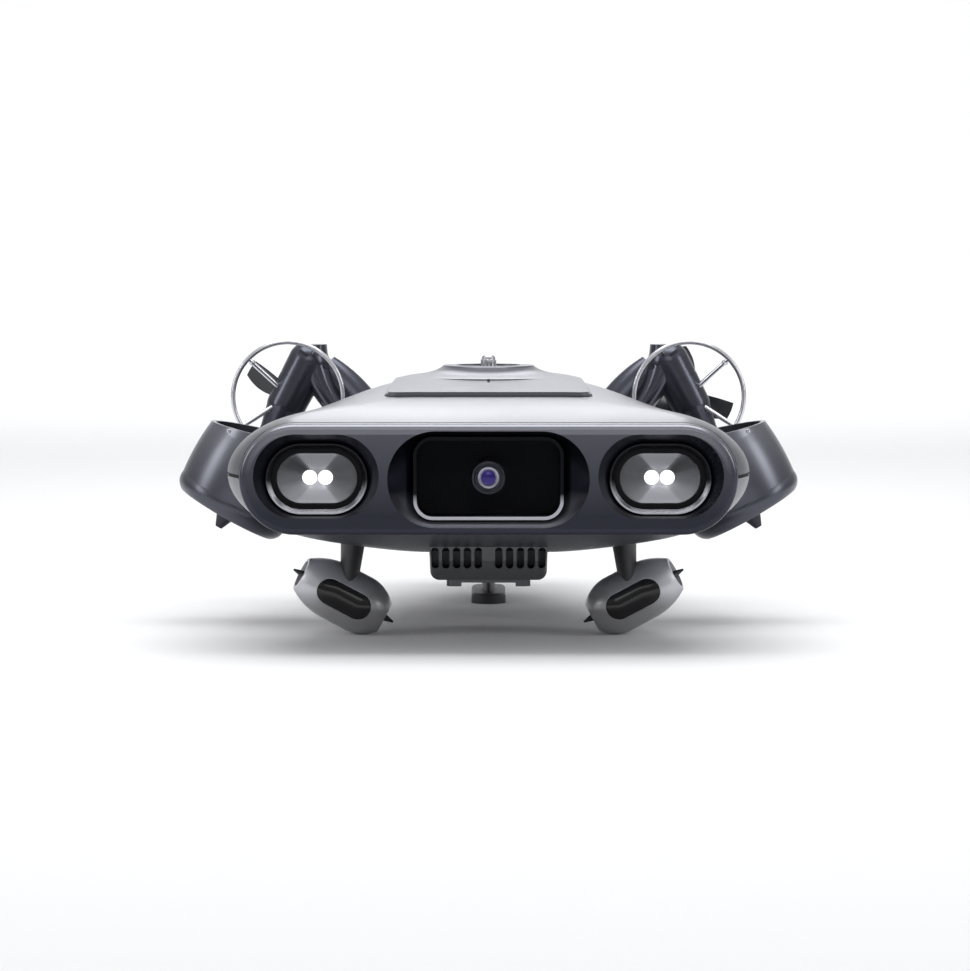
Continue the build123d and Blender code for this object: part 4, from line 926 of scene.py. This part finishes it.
@dataclass
class VentKnob:
    """The knurled knob of the vent port.

    Attributes:
        columns: Columns of vertices round the knob.
        groove: Share of the radius that a groove keeps.
    """

    shaper: Shaper
    columns: int = 96
    groove: float = 0.93

    def build(self) -> None:
        """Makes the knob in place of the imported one."""
        low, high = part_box("thumb_screw")
        radius = (high[0] - low[0]) / 2 / MM
        top, bottom = high[2] / MM, low[2] / MM
        foot = top - 7.0
        profile = [
            (0.0, bottom), (1.9, bottom), (1.9, foot), (radius - 0.7, foot), (radius - 0.2, foot + 0.5),
            (radius, foot + 1.0), (radius, foot + 2.8), (radius, foot + 4.2), (radius - 0.3, foot + 4.5),
            (radius - 0.7, foot + 4.6), (radius - 0.75, foot + 4.9), (radius - 0.6, foot + 5.2),
            (radius - 0.8, foot + 5.9), (radius - 1.4, foot + 6.5), (radius - 2.4, foot + 6.85), (0.0, top)]
        form = bmesh.new()
        place = Matrix.Translation(((low[0] + high[0]) / 2, (low[1] + high[1]) / 2, 0.0))
        made = self.shaper.turned(form, profile, place, steps=self.columns)
        centre = place.translation
        grooves = []
        for vert in made:
            reach = Vector((vert.co.x - centre.x, vert.co.y - centre.y))
            column = round(math.atan2(reach.y, reach.x) / (2 * math.pi) * self.columns) % 8
            if abs(reach.length / MM - radius) < 0.01 and column < 4:
                grooves.append(vert)
        keep = Matrix.Diagonal((self.groove, self.groove, 1.0, 1.0))
        bmesh.ops.transform(form, matrix=keep, space=Matrix.Translation(-centre), verts=grooves)
        knob = self.shaper.piece(form, "vent_knob", KNOB, "thumb_screw_body")
        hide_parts("thumb_screw")


@dataclass
class Seals:
    """The thin dark seals round the deck panel and behind the front mask.

    Attributes:
        brow_y: Place of the seal behind the mask along Y, in millimetres.
        brow_width: Width of the seal behind the mask, in millimetres.
        bead: Width of the bead round the deck panel.
        proud: How far the bead stands above the shell.
    """

    shaper: Shaper
    nodes: dict[str, bpy.types.Object]
    brow_width: float = 0.9
    brow_proud: float = 0.12
    bead: float = 0.9
    proud: float = 0.3
    corner: float = 8.0
    front_half: float = 54.8
    rear_half: float = 49.0

    def build(self) -> None:
        """Makes both seals."""
        self._brow()
        self._bead()

    def _brow(self) -> None:
        """Makes the seal between the mask and the hull."""
        low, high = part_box("front_mask")
        centre_z = (low[2] + high[2]) / 2
        width, height = (high[0] - low[0]) / MM, (high[2] - low[2]) / MM
        back = high[1]
        form = bmesh.new()
        rows = [(0.0, self.brow_proud), (self.brow_width, self.brow_proud), (self.brow_width - 0.05, -1.2),
                (0.05, -1.2)]
        loops = []
        for run, grow in rows:
            origin = Vector((0.0, back - (self.brow_width - run) * MM, centre_z))
            loops.append(self.shaper.ring(form, width + 2 * grow, height + 2 * grow, origin, FORWARD, 160))
        self.shaper.stack(form, loops, closed=True)
        self.shaper.piece(form, "brow_seal", RUBBER)

    def _bead(self) -> None:
        """Makes the bead that follows the shell round the deck panel."""
        low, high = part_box("deck_panel")
        shell = Probe(self.nodes["upper_shell"])
        form = bmesh.new()
        loops = []
        for grow, lift in ((0.0, -0.3), (0.0, self.proud), (self.bead, self.proud * 0.6), (self.bead, -0.3)):
            loops.append(self._outline(form, (low[1] / MM, high[1] / MM), grow, lift, shell))
        self.shaper.stack(form, loops, closed=True)
        self.shaper.piece(form, "deck_bead", RUBBER)

    def _outline(self, form: bmesh.types.BMesh, ends: tuple[float, float], grow: float, lift: float,
                 shell: Probe) -> list[bmesh.types.BMEdge]:
        """Draws the panel's rounded outline and lays it on the shell.

        Args:
            form: The bmesh that takes the outline.
            ends: Front and rear end of the panel, in millimetres.
            grow: How far the outline stands outside the panel.
            lift: How far it stands above the shell.
            shell: The upper shell.

        Returns:
            Its edges.
        """
        front, rear = ends
        corners = ((-self.front_half - grow, front - grow), (self.front_half + grow, front - grow),
                   (self.rear_half + grow, rear + grow), (-self.rear_half - grow, rear + grow))
        verts = [form.verts.new((x * MM, y * MM, 0.0)) for x, y in corners]
        edges = [form.edges.new((verts[index], verts[(index + 1) % 4])) for index in range(4)]
        bmesh.ops.bevel(form, geom=verts, offset=(self.corner + grow) * MM, offset_type="OFFSET",
                        segments=8, profile=0.5, affect="VERTICES", material=-1)
        loop = [edge for edge in form.edges if not edge.link_faces and abs(edge.verts[0].co.z) < 1e-9]
        bmesh.ops.subdivide_edges(form, edges=[edge for edge in loop if edge.calc_length() > 0.03], cuts=15)
        loop = [edge for edge in form.edges if not edge.link_faces and abs(edge.verts[0].co.z) < 1e-9]
        for vert in {vert for edge in loop for vert in edge.verts}:
            place, _ = shell.hit((vert.co.x / MM, vert.co.y / MM, 200.0), (0.0, 0.0, -1.0))
            vert.co.z = place.z + lift * MM
        return loop


@dataclass
class Fasteners:
    """Small cap screws with hex sockets.

    Attributes:
        nodes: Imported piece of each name.
    """

    shaper: Shaper
    nodes: dict[str, bpy.types.Object]

    def build(self) -> None:
        """Sets the screws of the ducts, the rear cap and the belly."""
        for side, sign in SIDES.items():
            duct = Probe(self.nodes[f"side_duct_{side}"])
            place, normal = duct.hit((sign * 142.0, -260.0, 107.6), (0.0, 1.0, 0.0))
            form = bmesh.new()
            self._screw(form, place, normal, 1.3, 0.35, 1.4)
            self.shaper.piece(form, f"duct_screw_{side}", STEEL)
        self._row("rear_cap", "cap_screws", [(x, 190.6, 160.0) for x in (-18.0, 18.0)], (0.0, 0.0, -1.0), 1.5)
        self._row("lower_shell", "belly_screws", [(x, y, -20.0) for x in (-52.0, 52.0) for y in (-140.0, -30.0, 40.0)],
                  (0.0, 0.0, 1.0), 2.4)

    def _row(self, node: str, name: str, starts: list[tuple[float, float, float]],
             toward: tuple[float, float, float], radius: float) -> None:
        """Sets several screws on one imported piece.

        Args:
            node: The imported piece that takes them.
            name: Name of the new piece.
            starts: Start of the line to each screw, in millimetres.
            toward: Direction of those lines.
            radius: Radius of the heads.
        """
        probe = Probe(self.nodes[node])
        form = bmesh.new()
        for start in starts:
            place, normal = probe.hit(start, toward)
            self._screw(form, place, normal, radius, 0.5, radius)
        self.shaper.piece(form, name, STEEL)

    def _screw(self, form: bmesh.types.BMesh, place: Vector, normal: Vector, radius: float, proud: float,
               socket: float) -> None:
        """Adds one screw head.

        Args:
            form: The bmesh that takes the head.
            place: Where the head sits, in metres.
            normal: Direction out of the surface.
            radius: Radius of the head in millimetres.
            proud: How far it stands out.
            socket: Width of its hex socket.
        """
        loops = []
        rows = ((radius, -1.2, 24), (radius, proud * 0.5, 24), (radius * 0.88, proud, 24),
                (socket / 2, proud - 0.05, 6), (socket / 2, proud - 1.0, 6))
        for reach, height, segments in rows:
            origin = place + normal * height * MM
            loops.append(self.shaper.ring(form, 2 * reach, 2 * reach, origin, normal, segments))
        self.shaper.stack(form, loops)


@dataclass
class TetherPins:
    """The contact pins at the bottom of the tether socket.

    Attributes:
        circle: Radius of the circle of pins, in millimetres.
        radius: Radius of a pin.
        count: Number of pins.
        floor: Depth of the socket's floor below its face.
        height: Height of a pin above the floor.
    """

    shaper: Shaper
    circle: float = 2.7
    radius: float = 0.6
    count: int = 4
    floor: float = 12.0
    height: float = 5.0

    def build(self) -> None:
        """Makes the pins."""
        low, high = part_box("tether_socket")
        centre = Vector(((low[0] + high[0]) / 2, high[1] - self.floor * MM, (low[2] + high[2]) / 2))
        form = bmesh.new()
        profile = [(0.0, -0.5), (self.radius, -0.5), (self.radius, self.height - 0.8),
                   (self.radius * 0.6, self.height - 0.2), (0.0, self.height)]
        for index in range(self.count):
            turn = 2 * math.pi * (index + 0.5) / self.count
            shift = Vector((math.cos(turn), 0.0, math.sin(turn))) * self.circle * MM
            self.shaper.turned(form, profile, facing(centre + shift, -FORWARD), steps=16)
        self.shaper.piece(form, "tether_pins", PIN)


@dataclass
class MotorBands:
    """The light bands round the ends of the upper motors.

    Attributes:
        width: Width of a band in millimetres.
        proud: How far it stands out.
    """

    shaper: Shaper
    width: float = 1.4
    proud: float = 0.15

    def build(self) -> None:
        """Makes two bands on each upper motor."""
        for side in SIDES:
            low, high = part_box(f"upper_motor_{side}")
            radius = (high[0] - low[0]) / 2 / MM
            centre = Vector(((low[0] + high[0]) / 2, 0.0, (low[2] + high[2]) / 2))
            form = bmesh.new()
            for run in (0.35, 0.75):
                y = low[1] + (high[1] - low[1]) * run
                place = facing(Vector((centre.x, y, centre.z)), -FORWARD)
                out, half = radius + self.proud, self.width / 2
                self.shaper.turned(form, [(radius - 0.6, -half), (out - 0.1, -half), (out, -half + 0.1),
                                          (out, half - 0.1), (out - 0.1, half), (radius - 0.6, half),
                                          (radius - 0.6, -half)], place, steps=64)
            self.shaper.piece(form, f"motor_bands_{side}", STEEL)


@dataclass
class Studio:
    """Stage, lights and camera.

    Attributes:
        distance: From the camera to its target, in metres.
        elevation: Height of the camera above the horizon, in degrees.
        target_height: Height of the target above the ground, in metres.
        focal_pixels: Focal length in pixels of the photograph.
        image_side: Longer side of the photograph, in pixels.
        axis_shift: How far right of the centre the vehicle's axis lies, in pixels.
        sensor: Width of the sensor in millimetres.
    """

    distance: float = 2.0
    elevation: float = 4.0
    target_height: float = 0.0739
    focal_pixels: float = 3553.0
    image_side: float = 971.0
    axis_shift: float = 3.5
    sensor: float = 36.0

    def camera(self) -> bpy.types.Object:
        """Creates the camera at the photograph's viewing angle.

        Returns:
            The camera.
        """
        data = bpy.data.cameras.new("camera")
        data.sensor_width = self.sensor
        data.lens = self.focal_pixels * self.sensor / self.image_side
        data.shift_x = -self.axis_shift / self.image_side
        data.clip_start = 0.05
        data.clip_end = 50.0
        camera = bpy.data.objects.new("camera", data)
        bpy.context.scene.collection.objects.link(camera)
        angle = math.radians(self.elevation)
        target = Vector((0.0, 0.0, self.target_height))
        camera.location = target + self.distance * Vector((0.0, -math.cos(angle), math.sin(angle)))
        camera.rotation_euler = (math.radians(90.0) - angle, 0.0, 0.0)
        bpy.context.scene.camera = camera
        return camera

    def floor(self) -> bpy.types.Object:
        """Makes a pale floor that sweeps up into a backdrop.

        Returns:
            The floor.
        """
        mesh = bpy.data.meshes.new("floor")
        form = bmesh.new()
        half, front, bend, radius, steps = 6.0, -6.0, 3.0, 1.6, 24
        profile = [(front, 0.0), (bend, 0.0)]
        for step in range(1, steps + 1):
            turn = math.radians(90.0) * step / steps
            profile.append((bend + radius * math.sin(turn), radius - radius * math.cos(turn)))
        profile.append((bend + radius, 5.0))
        verts = [form.verts.new((-half, y, z)) for y, z in profile]
        edges = [form.edges.new(pair) for pair in zip(verts, verts[1:])]
        swept = bmesh.ops.extrude_edge_only(form, edges=edges)["geom"]
        moved = [item for item in swept if isinstance(item, bmesh.types.BMVert)]
        bmesh.ops.translate(form, verts=moved, vec=(2 * half, 0.0, 0.0))
        bmesh.ops.recalc_face_normals(form, faces=form.faces)
        for face in form.faces:
            face.smooth = True
        form.to_mesh(mesh)
        form.free()
        floor = bpy.data.objects.new("floor", mesh)
        bpy.context.scene.collection.objects.link(floor)
        graph = Graph("floor")
        graph.shader.inputs["Base Color"].default_value = (0.8, 0.8, 0.81, 1.0)
        graph.shader.inputs["Roughness"].default_value = 0.9
        mesh.materials.append(graph.material)
        return floor

    def lights(self) -> None:
        """Hangs the overhead panel, the rear panel that draws the deck's highlight, and soft fills."""
        self._panel("overhead", (0.0, -0.1, 1.5), (0.0, 0.0, 0.1), (1.6, 1.0), 18.0)
        self._panel("deck", (0.0, 1.1, 0.8), (0.0, -0.1, 0.12), (0.5, 0.4), 1.7)
        self._panel("front", (0.0, -2.6, 1.2), (0.0, 0.0, 0.08), (1.6, 0.8), 5.0)
        self._panel("left", (-1.7, -0.6, 0.7), (0.0, 0.0, 0.08), (0.5, 0.9), 5.0)
        self._panel("right", (1.7, -0.6, 0.7), (0.0, 0.0, 0.08), (0.5, 0.9), 5.0)
        self._panel("backdrop", (0.0, 2.2, 2.4), (0.0, 4.2, 0.9), (3.0, 1.0), 60.0)

    def _panel(self, name: str, place: tuple[float, float, float], aim: tuple[float, float, float],
               size: tuple[float, float], power: float) -> None:
        """Hangs one soft panel light.

        Args:
            name: Name of the light.
            place: Where it hangs.
            aim: Point that it faces.
            size: Width and height in metres.
            power: Power in watts.
        """
        data = bpy.data.lights.new(name, "AREA")
        data.shape = "RECTANGLE"
        data.size, data.size_y = size
        data.energy = power
        light = bpy.data.objects.new(name, data)
        light.location = place
        light.rotation_euler = (Vector(aim) - Vector(place)).to_track_quat("-Z", "Y").to_euler()
        light.visible_camera = False
        bpy.context.scene.collection.objects.link(light)

    def world(self) -> None:
        """Fills the room with a soft grey light, brighter overhead."""
        world = bpy.data.worlds.new("room")
        world.use_nodes = True
        tree = world.node_tree
        background = tree.nodes["Background"]
        direction = tree.nodes.new("ShaderNodeTexCoord").outputs["Generated"]
        split = tree.nodes.new("ShaderNodeSeparateXYZ")
        tree.links.new(direction, split.inputs["Vector"])
        ramp = tree.nodes.new("ShaderNodeMapRange")
        ramp.inputs["From Min"].default_value = -0.1
        ramp.inputs["From Max"].default_value = 0.9
        ramp.inputs["To Min"].default_value = 0.2
        ramp.inputs["To Max"].default_value = 0.75
        tree.links.new(split.outputs["Z"], ramp.inputs["Value"])
        background.inputs["Color"].default_value = (0.98, 0.99, 1.0, 1.0)
        tree.links.new(ramp.outputs["Result"], background.inputs["Strength"])
        bpy.context.scene.world = world

    def build(self) -> None:
        """Sets the stage, the lights and the camera."""
        bpy.context.scene.view_settings.view_transform = "Standard"
        self.camera()
        self.floor()
        self.lights()
        self.world()
        LOG.info("studio ready")


def main() -> None:
    """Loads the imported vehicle, dresses it, adds its small pieces and sets the studio."""
    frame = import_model()
    nodes = frame["nodes"]
    wardrobe = Wardrobe()
    shaper = Shaper(wardrobe)
    Studio().build()
    Cad(nodes, wardrobe).dress()
    HeadLamps(shaper).build()
    CameraOptics(shaper).build()
    VentKnob(shaper).build()
    Seals(shaper, nodes).build()
    Fasteners(shaper, nodes).build()
    TetherPins(shaper).build()
    MotorBands(shaper).build()


if __name__ == "__main__":
    main()
